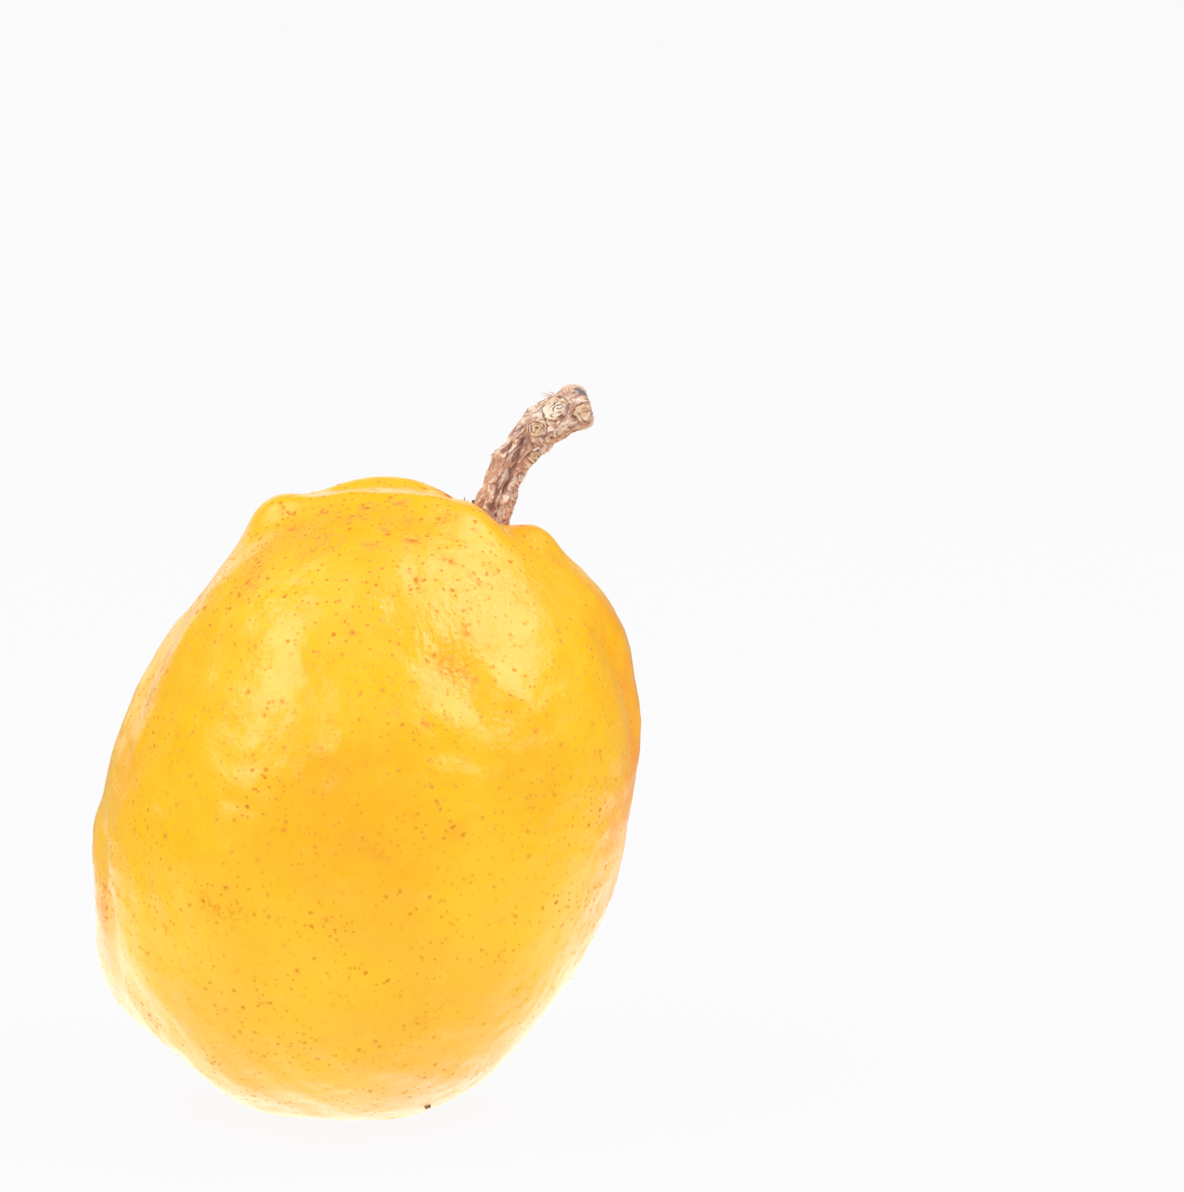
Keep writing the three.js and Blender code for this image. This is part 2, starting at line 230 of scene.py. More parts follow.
# What some of them turn into: from where to where in the noise, between which values, and along which curve
SKIN_SHARES = {
    "clouds": (0.38, 0.66, 0.0, 1.0, "SMOOTHSTEP"),
    "drift": (0.35, 0.65, 0.45, 1.35, "LINEAR"),
    "ragged": (0.3, 0.7, 0.65, 1.25, "LINEAR"),
    "broken": (0.44, 0.58, 0.12, 1.0, "SMOOTHSTEP"),
    "gloss": (0.35, 0.65, 0.29, 0.38, "LINEAR"),
}

# Tones of the skin: the size of each one's clouds in mm, how finely they break up, from where to where they
# set in, how strongly, and their colour
SKIN_TONES = (
    (2.2, 4.0, 0.45, 0.70, 0.35, "#FFB808"),
    (0.7, 4.0, 0.50, 0.72, 0.22, "#FFAC06"),
    (1.4, 3.0, 0.56, 0.74, 0.22, "#FFD432"),
)

# Spots in the skin: how far apart they lie in mm, their radius in mm, the share of places that have one, how
# strongly they show, a shift that sets them apart, and their colour. Halos lie where large pores do
PORES = (
    ("soft bruise", 6.5, 1.0, 0.45, 0.3, 0.37, "#FA9A08"),
    ("halo", 1.9, 0.40, 0.6, 0.6, 0.11, "#FBA204"),
    ("large pore", 1.9, 0.18, 0.6, 0.9, 0.11, "#D07E00"),
    ("medium pore", 0.95, 0.20, 0.9, 1.05, 0.29, "#DC8600"),
    ("fine pore", 0.5, 0.145, 0.9, 0.95, 0.53, "#E69000"),
    ("pale fleck", 3.0, 0.14, 0.4, 0.7, 0.79, "#FFE6C0"),
)
# How far their outlines are shaken in mm, the share of each that is full, and how softly faint ones drop out
PORE_SHAKE = 0.2
PORE_CORE = 0.4
PORE_FADE = 0.1
FAINT_STREAK = "#F8A800"
STRONG_STREAK = "#C87200"

# How strongly each relief adds to the orange-peel swells, the depth of them all in mm, and the size in mm and
# the stretch of the upright creases
SKIN_BUMPS = {"grain": 0.55, "crumple": 3.6, "creases": 1.9, "fine pore": -0.2, "large pore": -0.3}
SKIN_BUMP_DEPTH = 0.06
CREASE_SIZE = 0.4
CREASE_STRETCH = (1.0, 1.0, 0.22)
# Marks that are duller than the skin round them, and by how much
DULL_MARKS = ("fine pore", "medium pore", "large pore", "streak")
MARK_DULLNESS = 0.6

# The stem's centre line, a Bezier curve in the plane y = STEM_Y
STEM_Y = -0.3
STEM_POINTS = ((8.1, 37.4), (8.15, 42.1), (10.5, 45.5), (14.52, 46.72))
STEM_LINE_STEPS = 2001
# The shares of its length that it thickens between, and how far its end is rounded along and inwards
STEM_TAPER = (0.35, 0.8)
STEM_ROUND_END = 0.35
STEM_END_NARROWS = 0.28
# The broken end: how far its cap closes, its ripples in mm and how fast they run, and its dish in mm and the
# shares of the way inwards that it sinks between
STEM_CAP_CLOSES = 0.97
STEM_END_RIPPLE = 0.1
STEM_END_RIPPLE_PACE = 15
STEM_END_DISH = 0.16
STEM_DISHED = (0.05, 0.7)

# Knobs: the place of each, its rise and its spread in mm
KNOBS = (
    ("left knob", (5.7, 84), 0.32, 0.4),
    ("swollen node", (9.1, 100), 0.14, 0.8),
    ("end bump", (11.2, 72), 0.3, 0.42),
    ("foot flare", (2.2, 95), 0.22, 0.8),
    ("right step", (3.3, -80), 0.12, 0.6),
    ("neck below the node", (6.2, 100), -0.15, 0.5),
    ("back knob", (6.4, 190), 0.35, 0.5),
    ("end lip", (11.5, -70), 0.2, 0.5),
    ("low blister", (5.15, -57), 0.12, 0.3),
)
# Ring scars: the place of each and its radius in mm
SCARS = (
    ("large leaf scar", (10.1, 32), 0.68),
    ("middle leaf scar", (8.55, 15), 0.5),
    ("end scar", (11.65, -16), 0.48),
    ("small upper scar", (8.85, -36), 0.3),
    ("side scar", (7, -51), 0.38),
    ("back scar", (8.9, 200), 0.6),
    ("lower back scar", (4.4, 165), 0.45),
)
SCAR_LIP_RISE = 0.13
SCAR_LIP_WIDTH = 0.17
SCAR_PIT_DEPTH = 0.14
# The pit's width as a share of the scar's radius
SCAR_PIT_WIDTH = 0.5
# Furrows: where each starts and ends, its depth and its width in mm
FURROWS = (
    ("front furrow", (2.2, -8), (5.4, -22), 0.16, 0.2),
    ("middle furrow", (5.6, -17), (7.7, 27), 0.18, 0.26),
    ("upper furrow", (6.5, 52), (9.6, 62), 0.13, 0.2),
    ("back furrow", (2, 150), (7.6, 215), 0.15, 0.22),
)
BARK_RISE = 0.05
# Ridges along the bark: how many go round, how they wind in radians a mm, where they start, and how strongly
BARK_RIDGES = ((6, 1.1, 0.6, 1.0), (9, -1.7, 2.2, 0.7))
# Rings across it: how fast they follow each other, how they sway and from what angle, and their strength
BARK_RINGS = (4.3, 1.5, 0.4, 0.6)

# Coats of the bark's colour from the lowest up: what each lies on, a painted mark or clouds of a size in mm,
# from where to where it sets in, how strongly, and its colour
BARK_COATS = (
    (0.9, 0.46, 0.66, 0.55, "#E6B888"),
    (0.6, 0.50, 0.68, 0.55, "#B4949A"),
    (1.7, 0.50, 0.68, 0.50, "#E8AE98"),
    (0.5, 0.52, 0.68, 0.45, "#B8A898"),
    ("gold", 0.15, 0.8, 0.7, "#E8BE8A"),
    ("pale", 0.2, 0.85, 0.8, "#F8E8D2"),
    (0.26, 0.52, 0.66, 0.6, "#F8E0C8"),
    (0.35, 0.53, 0.70, 0.45, "#BE8E78"),
    (0.16, 0.56, 0.67, 0.75, "#86594A"),
    ("dark", 0.2, 0.8, 0.85, "#8A5E56"),
    ("dark", 0.65, 1.0, 0.6, "#533839"),
    ("slate", 0.35, 0.7, 0.85, "#6A6268"),
)
# The sizes of the bark's fine patterns in mm, how they stretch along it, and how deep they look in mm
BARK_SPECKS = 0.12
BARK_SPECK_LIFT = 0.4
BARK_FIBRES = 0.22
BARK_DUST = 0.09
BARK_DUST_SHARE = 0.5
BARK_STRETCH = (1.0, 1.0, 0.3)
BARK_BUMP_DEPTH = 0.1
# How the relief in mm becomes the height that the bark's colour follows, from hollows at minus the span to
# crests at the span, and how much paler it gets between two places along it
BARK_HEIGHT_SPAN = 0.7
BARK_HEIGHT_GAIN = 24
BARK_HEIGHT_SHIFT = -0.25
BARK_PALER_BY = 0.35
BARK_PALER = (4, 8.5)

# Rings within the scars, as scars are given above
SCAR_EYES = (
    ("eye of the large scar", (10.32, 25), 0.2),
    ("ring of the large scar", (10.26, 27), 0.4),
    ("eye of the middle scar", (8.52, 13), 0.13),
    ("ring of the middle scar", (8.5, 13), 0.3),
    ("ring of the end scar", (11.72, -19), 0.24),
    ("eye of the side scar", (7.05, -52), 0.14),
    ("blister at the foot", (5.15, -57), 0.22),
)
LARGE_SCAR = 0
# Patches of the bark, each a place and its spread in mm
PALE_PATCHES = (
    ((9.2, 50), 0.42), ((5.15, -57), 0.26), ((2.6, -15), 0.2), ((3.6, -30), 0.22), ((10.3, -25), 0.25),
)
DARK_PATCHES = (
    ((2.5, 23), 0.36), ((9.36, 18), 0.1), ((11.0, -12), 0.13), ((10.7, -80), 0.35), ((8.9, -36), 0.12),
    ((6.2, 70), 0.14), ((5.75, 62), 0.12), ((5.3, 66), 0.13),
)
CRACKLED_PATCHES = (((7.3, 28), 0.75), ((6.4, 8), 0.75), ((5.5, -18), 0.5), ((2.9, 0), 0.5))
SLATE_PATCHES = (((11.72, 57), 0.17), ((11.95, 48), 0.2), ((5.95, 86), 0.2))

# Marks of the bark: how far each rises or sinks in mm, and how dark it is
BARK_MARKS = {
    "long crack": (-0.07, 0.9),
    "short crack": (-0.03, 0.5),
    "lip": (0.05, 0.0),
    "gap": (-0.07, 0.95),
    "pit": (-0.07, 0.85),
    "furrow": (-0.04, 0.95),
}
# How far the marks stray from their places: over how many mm and by how much
BARK_STRAYS = ((0.9, 0.05), (0.33, 0.028))
# How far out a scar's floor begins and how softly, the widths of the lip and the gap, how far out the gap is,
# and the width of the pit in an eye under one radius, all in mm
SCAR_FLOOR_OUT = 0.1
SCAR_FLOOR_FADE = 0.14
LIP_WIDTH = 0.08
GAP_WIDTH = 0.045
GAP_OUT = 0.14
PIT_WIDTH = 0.07
PIT_UNDER = 0.24
# Where the large scar's floor turns pale, in mm inwards from its edge, and how golden a floor is
PALE_FLOOR = (-0.05, 0.15)
GOLD_FLOOR = 0.3
# The share of a furrow's width that is cracked open
FURROW_CORE = 0.55
# How much of a mark is left: on the whole, how much that varies, over how many mm, and a seed. Lips and gaps
# wear away at the same places
LIP_LEFT = (0.87, 0.3, 0.5, 23)
GAP_LEFT = (0.72, 0.3, 0.5, 23)
FURROW_LEFT = (0.7, 0.5, 0.8, 24)
DARK_LEFT = (0.65, 0.6, 0.35, 25)
# Cracks lie where waves pass through zero: the waves' length in mm, a seed, and how much they stretch along
# the stem, and then how wide the cracks are and how much wider on crackled patches
LONG_CRACKS = (0.55, 11, 2.8)
SHORT_CRACKS = (0.42, 12, 1.2)
LONG_CRACK_WIDTH = 0.17
SHORT_CRACK_WIDTH = 0.18
CRACKLED_WIDER = 0.28
# Where long cracks come in patches of a size in mm, from where to where they set in, and how strong they are
CRACK_PATCH_SIZE = 2.2
CRACK_PATCH_SPAN = (-0.9, 0.5)
CRACK_PATCH_STRENGTH = 0.8
# Crumbs of bark: their size in mm, how much they stretch along the stem, their rise in mm, and a seed
BARK_CRUMBS = ((0.42, 1.5, 0.023, 13), (0.22, 1.3, 0.014, 14))
# How much a scar's floor smooths cracks and crumbs
FLOOR_SMOOTHS_CRACKS = 0.7
FLOOR_SMOOTHS_CRUMBS = 0.6

# Frayed bark fibres: where each starts on the stem, and how far its tip lies along, above and behind that
FIBRES = (
    ((10.35, 94), (-0.9, 0.16, -0.06)),
    ((10.2, 100), (-0.6, 0.02, 0.1)),
    ((10.5, 88), (-0.5, 0.16, -0.14)),
    ((5.4, 100), (-0.3, 0.2, 0.1)),
)
FIBRE_RADIUS = 0.048
FIBRE_TAPER = 0.8
FIBRE_SUNK = 0.05
FIBRE_SAG = (0, 0, 0.12)

# The calyx, a broken collar with three lobes
CALYX_MIDDLE = np.array([8.15, -0.3, 39.0])
CALYX_TILT = 22
CALYX_INNER = 1.3
CALYX_RING = 1.95
CALYX_FROM = 46
CALYX_TO = 172
CALYX_THICKNESS = 0.5
# Its lobes: the angle, reach in mm and half width in degrees of each, and how their outline narrows
CALYX_LOBES = ((158, 0.4, 16), (124, 0.6, 28), (74, 0.45, 30))
CALYX_LOBE_POWER = 0.75
# Its frayed edge: how far each wave reaches in mm, and how fast it runs in radians a degree
CALYX_FRAY = ((0.05, 0.41), (0.03, 0.93))
# How bluntly the collar's two ends close
CALYX_END_POWER = 6
# How much thinner its edge is, from which share of its reach, and how high it curls up, over how many mm
CALYX_THINS_BY = 0.6
CALYX_THINS_FROM = 0.3
CALYX_CURL = 0.63
CALYX_CURL_OVER = 0.6
DRY_BROWN = "#5A3E34"
DRY_GREY = "#9A7660"
DRY_MOTTLE_SIZE = 0.35
DRY_BUMP_DEPTH = 0.08

# The dry style tip near the bottom
STYLE_AT = (34, -69)
STYLE_RADIUS = 0.38
STYLE_RISE = 0.16
STYLE_SUNK = 0.25
# How it narrows to its end, the ribs round it, and the bumps on its end
STYLE_TAPER = 0.62
STYLE_TAPER_POWER = 0.8
STYLE_RIBS = 5
STYLE_RIB_TWIST = 3
STYLE_RIB_RISE = 0.14
STYLE_BUMPS = 3
STYLE_BUMP_RISE = 0.15

# How finely each surface is divided
FRUIT_RINGS = 228
FRUIT_SIDES = 432
STEM_RINGS = 400
STEM_CAP_RINGS = 30
STEM_SIDES = 208
FIBRE_RINGS = 12
FIBRE_SIDES = 8
STYLE_RINGS = 14
STYLE_SIDES = 28
CALYX_RINGS = 120
CALYX_SIDES = 28

# Softboxes: the places over the fruit that each reaches between, and its width and distance in metres
LEFT_SOFTBOX = ((-93, 61), (-31, 13), 0.34)
RIGHT_SOFTBOX = ((128, 65), (47, 22), 0.42)
SOFTBOX_DISTANCE = 0.6

# How white the table and the room look, the table's size, and between which distances from the fruit its
# mirrored light falls off and to what, in metres
WHITE = "#FEFEFF"
TABLE_SEEN = 0.92
ROOM_SEEN = 0.965
TABLE_RADIUS = 12.0
TABLE_SIDES = 96
TABLE_NEAR = 0.04
TABLE_FAR = 0.12
TABLE_FAR_MIRRORED = 0.22

# Which way the white backdrop lies, a little left of straight behind the fruit, and how it fades to the room
BACKDROP_HEADING = (-0.34, 0.94, 0.0)
BACKDROP_EDGE = (0.73, 0.95)
ROOM_MIRRORED = 0.08
BACKDROP_MIRRORED = 1.5

# The view that the fruit is shown in
PHOTO_WIDTH = 1184
PHOTO_HEIGHT = 1192
MM_PER_PIXEL = 0.065
ORIGIN_PIXEL = (366, 1116)
CAMERA_ELEVATION = np.radians(8)
CAMERA_DISTANCE = 300.0
CAMERA_CLIP = 0.01
SENSOR = 36.0


def linear(colour):
    """An sRGB hex value as linear red, green, blue and a full alpha, by the standard's own curve."""
    parts = np.array([int(colour[i:i + 2], 16) for i in (1, 3, 5)]) / 255
    toe = parts / 12.92
    curve = ((parts + 0.055) / 1.055) ** 2.4
    return (*np.where(parts <= 0.04045, toe, curve), 1.0)


def bell(distance, spread):
    """A bell curve of height 1."""
    return np.exp(-(distance ** 2) / (2 * spread ** 2))


def smooth(value, low, high):
    """0 below low, 1 above high, and a smooth S between them."""
    share = np.clip((value - low) / (high - low), 0, 1)
    return share * share * (3 - 2 * share)


def toward(place):
    """The direction of a place on the fruit, or of each where its bearing and height are arrays."""
    bearing, height = np.radians(place)
    return np.stack([np.sin(bearing) * np.cos(height), -np.cos(bearing) * np.cos(height), np.sin(height)], -1)


def tangents(direction, level=(0, 0, 1)):
    """Two directions square to one and to each other, the first of them also square to level."""
    side = np.cross(level, direction)
    side /= np.linalg.norm(side)
    return side, np.cross(direction, side)


def apart(directions, start, end=None):
    """The distance on the unit sphere from each direction to a place, or to the arc between two places."""
    first = toward(start)
    if end is None:
        return np.linalg.norm(directions - first, axis=-1)
    run = toward(end) - first
    share = np.clip((directions - first) @ run / (run @ run), 0, 1)
    nearest = first + share[..., None] * run
    nearest /= np.linalg.norm(nearest, axis=-1, keepdims=True)
    return np.linalg.norm(directions - nearest, axis=-1)


def ripples(points, size, seed, stretch=1):
    """Even noise with a spread of about 1: plane waves of about one length, in random directions and phases.

    Along Z they are longer, by the stretch.
    """
    draw = np.random.default_rng(seed)
    heading = draw.normal(size=(RIPPLE_WAVES, 3))
    heading /= np.linalg.norm(heading, axis=1, keepdims=True)
    pace = 2 * np.pi / (size * draw.uniform(0.7, 1.5, (RIPPLE_WAVES, 1)))
    phase = draw.uniform(0, 2 * np.pi, RIPPLE_WAVES)
    waves = np.sin((points / np.array((1, 1, stretch))) @ (heading * pace).T + phase)
    return waves.sum(-1) * np.sqrt(2 / RIPPLE_WAVES)


def body_radius(directions, settings):
    """A leaning superellipsoid: the sum of each axis's share to the power of the squareness is 1."""
    x, y, z = directions[..., 0], directions[..., 1], directions[..., 2]
    across = x * np.cos(settings.lean) - z * np.sin(settings.lean)
    along = x * np.sin(settings.lean) + z * np.cos(settings.lean)
    total = (
        (np.abs(across) / (settings.half_width / MM)) ** SQUARENESS
        + (np.abs(y) / (settings.half_depth / MM)) ** SQUARENESS
        + (np.abs(along) / (settings.half_height / MM)) ** SQUARENESS
    )
    return total ** (-1 / SQUARENESS)


def wave_rise(directions):
    """The sum of crossed waves, each the product of two sines."""
    total = 0
    for strength, *pair in WAVES:
        first, second = (np.sin(directions @ wave[:3] + wave[3]) for wave in pair)
        total = total + strength * first * second
    return WAVE_RISE * total


def forms_rise(directions, forms):
    """The sum of forms, each a bell curve about its place or across the arc between its two places."""
    return sum(
        rise * bell(apart(directions, *places), np.radians(spread)) for _, *places, rise, spread in forms
    )


def fruit_radius(directions, settings):
    """The body with its waves, its round swells and hollows and its long folds, added along the radius."""
    return body_radius(directions, settings) + wave_rise(directions) + forms_rise(directions, SWELLS + FOLDS)


def skin_points(directions, settings, raised=0.0):
    """The points on the fruit's skin in each direction, raised along it."""
    reach = fruit_radius(directions, settings) + raised
    return MIDDLE + directions * reach[..., None]


def skin_relief(directions):
    """Soft ripples all over, small folds, and wrinkles that run out from the dimple."""
    points = directions * SKIN_REACH
    relief = sum(rise * ripples(points, size, seed) for size, rise, seed in SKIN_RIPPLES)
    side, up = tangents(toward(DIMPLE))
    turn = np.arctan2(directions @ up, directions @ side)
    away = apart(directions, DIMPLE) / np.radians(DIMPLE_SPREAD)
    rays = np.cos(WRINKLE_COUNT * turn + WRINKLE_SWAY * ripples(points, WRINKLE_SWAY_SIZE, seed=6))
    wrinkles = WRINKLE_RISE * away ** 2 * bell(away, 1) * rays
    return relief + forms_rise(directions, SKIN_FOLDS) + wrinkles


def marks_shown(directions, marks):
    """How strongly each mark shows in each direction, a bell curve as forms are."""
    return [
        strength * bell(apart(directions, *places), np.radians(spread)) for *places, spread, strength in marks
    ]


def ring_grid(steps, sides):
    """A step and a turn for each point of the rings at all steps but the first and last, the two poles."""
    turns = np.linspace(-np.pi, np.pi, sides, endpoint=False)
    step, turn = np.meshgrid(steps[1:-1], turns, indexing="ij")
    return np.append(step, steps[[0, -1]]), np.append(turn, [0, 0])


def finger_grid(rings, sides):
    """The share of a finger's length and the turn round it at each point, and 1 on rings, 0 at the poles."""
    share, turn = ring_grid(np.pad(np.linspace(0, 1, rings), 1, "edge"), sides)
    return share, turn, np.append(np.ones(rings * sides), [0, 0])


def ring_faces(rings, sides):
    """Four-sided faces between closed rings, and fans from the two poles that follow them in the list."""
    first = np.arange(sides)
    after = (first + 1) % sides
    start = np.arange(rings - 1)[:, None] * sides
    quads = np.stack([start + first, start + after, start + sides + after, start + sides + first], -1)
    bottom = np.stack([np.full(sides, rings * sides), after, first], -1)
    last = (rings - 1) * sides
    top = np.stack([np.full(sides, rings * sides + 1), last + first, last + after], -1)
    return quads.reshape(-1, 4), np.concatenate([bottom, top])


def new_piece(name, points, quads, triangles, material, slot):
    """A closed, smooth piece from points in mm, its faces turned outwards, riding on the one body."""
    a, b, c = points[quads[:, 0]], points[quads[:, 1]], points[quads[:, 2]]
    if np.einsum("ij,ij->i", a - points.mean(0), np.cross(b - a, c - a)).sum() < 0:
        quads = quads[:, ::-1]
        triangles = triangles[:, ::-1]
    mesh = bpy.data.meshes.new(name)
    mesh.from_pydata((points * MM).tolist(), [], quads.tolist() + triangles.tolist())
    mesh.polygons.foreach_set("use_smooth", np.ones(len(mesh.polygons), bool))
    mesh.update()
    mesh.materials.append(material)
    piece = bpy.data.objects.new(name, mesh)
    bpy.context.scene.collection.objects.link(piece)
    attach(piece, "root")
    return piece


def write_attribute(piece, name, values):
    """A number or a vector for each point, which the piece's material reads."""
    vector = values.ndim == 2
    layer = piece.data.attributes.new(name, "FLOAT_VECTOR" if vector else "FLOAT", "POINT")
    layer.data.foreach_set("vector" if vector else "value", np.ascontiguousarray(values, np.float32).ravel())


def add_node(tree, kind, inputs=None, **settings):
    """A node with its settings, and its inputs set to values or linked to other nodes or their outputs."""
    node = tree.nodes.new(kind)
    for name, value in settings.items():
        setattr(node, name, value)
    for name, value in (inputs or {}).items():
        socket = next(entry for place, entry in enumerate(node.inputs)
                      if name == place or (name == entry.name and entry.enabled))
        if isinstance(value, bpy.types.Node):
            value = next(entry for entry in value.outputs if entry.enabled)
        if isinstance(value, bpy.types.NodeSocket):
            tree.links.new(value, socket)
        else:
            socket.default_value = value
    return node


def new_material(name):
    """An empty material and its nodes."""
    material = bpy.data.materials.new(name)
    material.use_nodes = True
    material.node_tree.nodes.clear()
    return material, material.node_tree


def waxy_skin(settings):
    """Jocote skin: thin, tight and waxy over wet yellow flesh.

    To the eye it has a soft sheen, brown pores and orange bruises.
    """
    material, tree = new_material("waxy jocote skin")
    place = add_node(tree, "ShaderNodeTexCoord").outputs["Object"]
    blush_and_reflection, painted_glow, streak, crowd, crumple, creased = (
        add_node(tree, "ShaderNodeAttribute", attribute_name=name).outputs["Fac"]
        for name in ("blush_and_reflection", "painted_glow", "streak", "crowd", "crumple", "creased")
    )
    noises = {
        name: add_node(tree, "ShaderNodeTexNoise", {
            "Vector": place, "Scale": 1 / (size * MM), "Detail": detail,
        })
        for name, (size, detail) in SKIN_NOISES.items()
    }
    shares = {
        name: add_node(tree, "ShaderNodeMapRange", {
            "Value": noises[name], "From Min": low, "From Max": high, "To Min": least, "To Max": most,
        }, interpolation_type=curve)
        for name, (low, high, least, most, curve) in SKIN_SHARES.items()
    }

    # The flesh shows through as yellow with broad amber clouds and finer mottling, and deeper where ripest.
    # The blush coat also holds a painted reflection of a neighbouring orange fruit down the right edge
    coats = [(shares["clouds"], settings.amber)]
    for size, detail, low, high, most, tone in SKIN_TONES:
        cloud = add_node(tree, "ShaderNodeTexNoise", {
            "Vector": place, "Scale": 1 / (size * MM), "Detail": detail,
        })
        share = add_node(tree, "ShaderNodeMapRange", {
            "Value": cloud, "From Min": low, "From Max": high, "To Max": most,
        }, interpolation_type="SMOOTHSTEP")
        coats.append((share, linear(tone)))
    ripe_and_reflected = add_node(tree, "ShaderNodeMath", {0: blush_and_reflection, 1: shares["ragged"]}, operation="MULTIPLY")
    ripe_and_reflected = add_node(tree, "ShaderNodeMath", {
        0: ripe_and_reflected, 1: shares["drift"],
    }, operation="MULTIPLY", use_clamp=True)
    # Painted glow: pale peach where the light table is mirrored and flares round the underside and lower
    # edges, with a painted highlight and sheen on the left
    painted_glow_share = add_node(tree, "ShaderNodeMath", {
        0: painted_glow, 1: shares["ragged"],
    }, operation="MULTIPLY", use_clamp=True)
    coats += [(ripe_and_reflected, settings.blush_and_reflection), (painted_glow_share, settings.pale)]

    # Pores and bruises are cells of a ragged web, each a spot round the cell's middle, and streaks are torn
    web = add_node(tree, "ShaderNodeVectorMath", {
        0: noises["shake"].outputs["Color"], 1: (PORE_SHAKE * MM,) * 3, 2: place,
    }, operation="MULTIPLY_ADD")
    marks = {}
    for name, gap, radius, kept, strength, shift, tone in PORES:
        shifted = add_node(tree, "ShaderNodeVectorMath", {0: web, 1: (shift,) * 3}, operation="ADD")
        cells = add_node(tree, "ShaderNodeTexVoronoi", {"Vector": shifted, "Scale": 1 / (gap * MM)})
        dot = add_node(tree, "ShaderNodeMapRange", {
            "Value": cells, "From Min": radius / gap, "From Max": PORE_CORE * radius / gap,
        }, interpolation_type="SMOOTHSTEP")
        drawn = add_node(tree, "ShaderNodeSeparateColor", {"Color": cells.outputs["Color"]})
        chance = add_node(tree, "ShaderNodeMapRange", {
            "Value": drawn, "From Min": 1 - kept, "From Max": 1 - kept + PORE_FADE, "To Max": strength,
        })
        shown = add_node(tree, "ShaderNodeMath", {0: dot, 1: chance}, operation="MULTIPLY")
        marks[name] = add_node(tree, "ShaderNodeMath", {
            0: shown, 1: crowd,
        }, operation="MULTIPLY", use_clamp=True)
        coats.append((marks[name], linear(tone)))
    marks["streak"] = add_node(tree, "ShaderNodeMath", {
        0: streak, 1: shares["broken"],
    }, operation="MULTIPLY", use_clamp=True)
    browner = add_node(tree, "ShaderNodeMix", {
        "Factor": streak, "A": linear(FAINT_STREAK), "B": linear(STRONG_STREAK),
    }, data_type="RGBA")
    coats.append((marks["streak"], browner))
    colour = settings.yellow
    for share, tone in coats:
        colour = add_node(tree, "ShaderNodeMix", {"Factor": share, "A": colour, "B": tone}, data_type="RGBA")

    # Orange-peel swells, a fine grain that breaks up the sheen, crumpled skin in the dimple, upright creases
    # above it, and sunken pores
    upright = add_node(tree, "ShaderNodeVectorMath", {0: place, 1: CREASE_STRETCH}, operation="MULTIPLY")
    creases = add_node(tree, "ShaderNodeTexNoise", {
        "Vector": upright, "Scale": 1 / (CREASE_SIZE * MM), "Detail": 2.0,
    })
    reliefs = {
        "grain": noises["grain"],
        "crumple": add_node(tree, "ShaderNodeMath", {0: noises["crumbs"], 1: crumple}, operation="MULTIPLY"),
        "creases": add_node(tree, "ShaderNodeMath", {0: creases, 1: creased}, operation="MULTIPLY"),
        **marks,
    }
    height = noises["peel"]
    for name, amount in SKIN_BUMPS.items():
        height = add_node(tree, "ShaderNodeMath", {
            0: reliefs[name], 1: amount, 2: height,
        }, operation="MULTIPLY_ADD")
    roughness = shares["gloss"]
    for name in DULL_MARKS:
        roughness = add_node(tree, "ShaderNodeMath", {
            0: marks[name], 1: MARK_DULLNESS, 2: roughness,
        }, operation="MULTIPLY_ADD")

    # Its sheen is a breath of pale bloom, which shows at the edges
    shader = add_node(tree, "ShaderNodeBsdfPrincipled", {
        "Base Color": colour,
        "Roughness": roughness,
        "Normal": add_node(tree, "ShaderNodeBump", {"Height": height, "Distance": SKIN_BUMP_DEPTH * MM}),
        "IOR": 1.42,
        "Subsurface Weight": 0.2,
        "Subsurface Radius": (1.0, 0.45, 0.12),
        "Subsurface Scale": 1.6 * MM,
        "Sheen Weight": 0.16,
        "Sheen Roughness": 0.3,
        "Sheen Tint": linear("#FFE8D8"),
    })
    add_node(tree, "ShaderNodeOutputMaterial", {"Surface": shader})
    return material


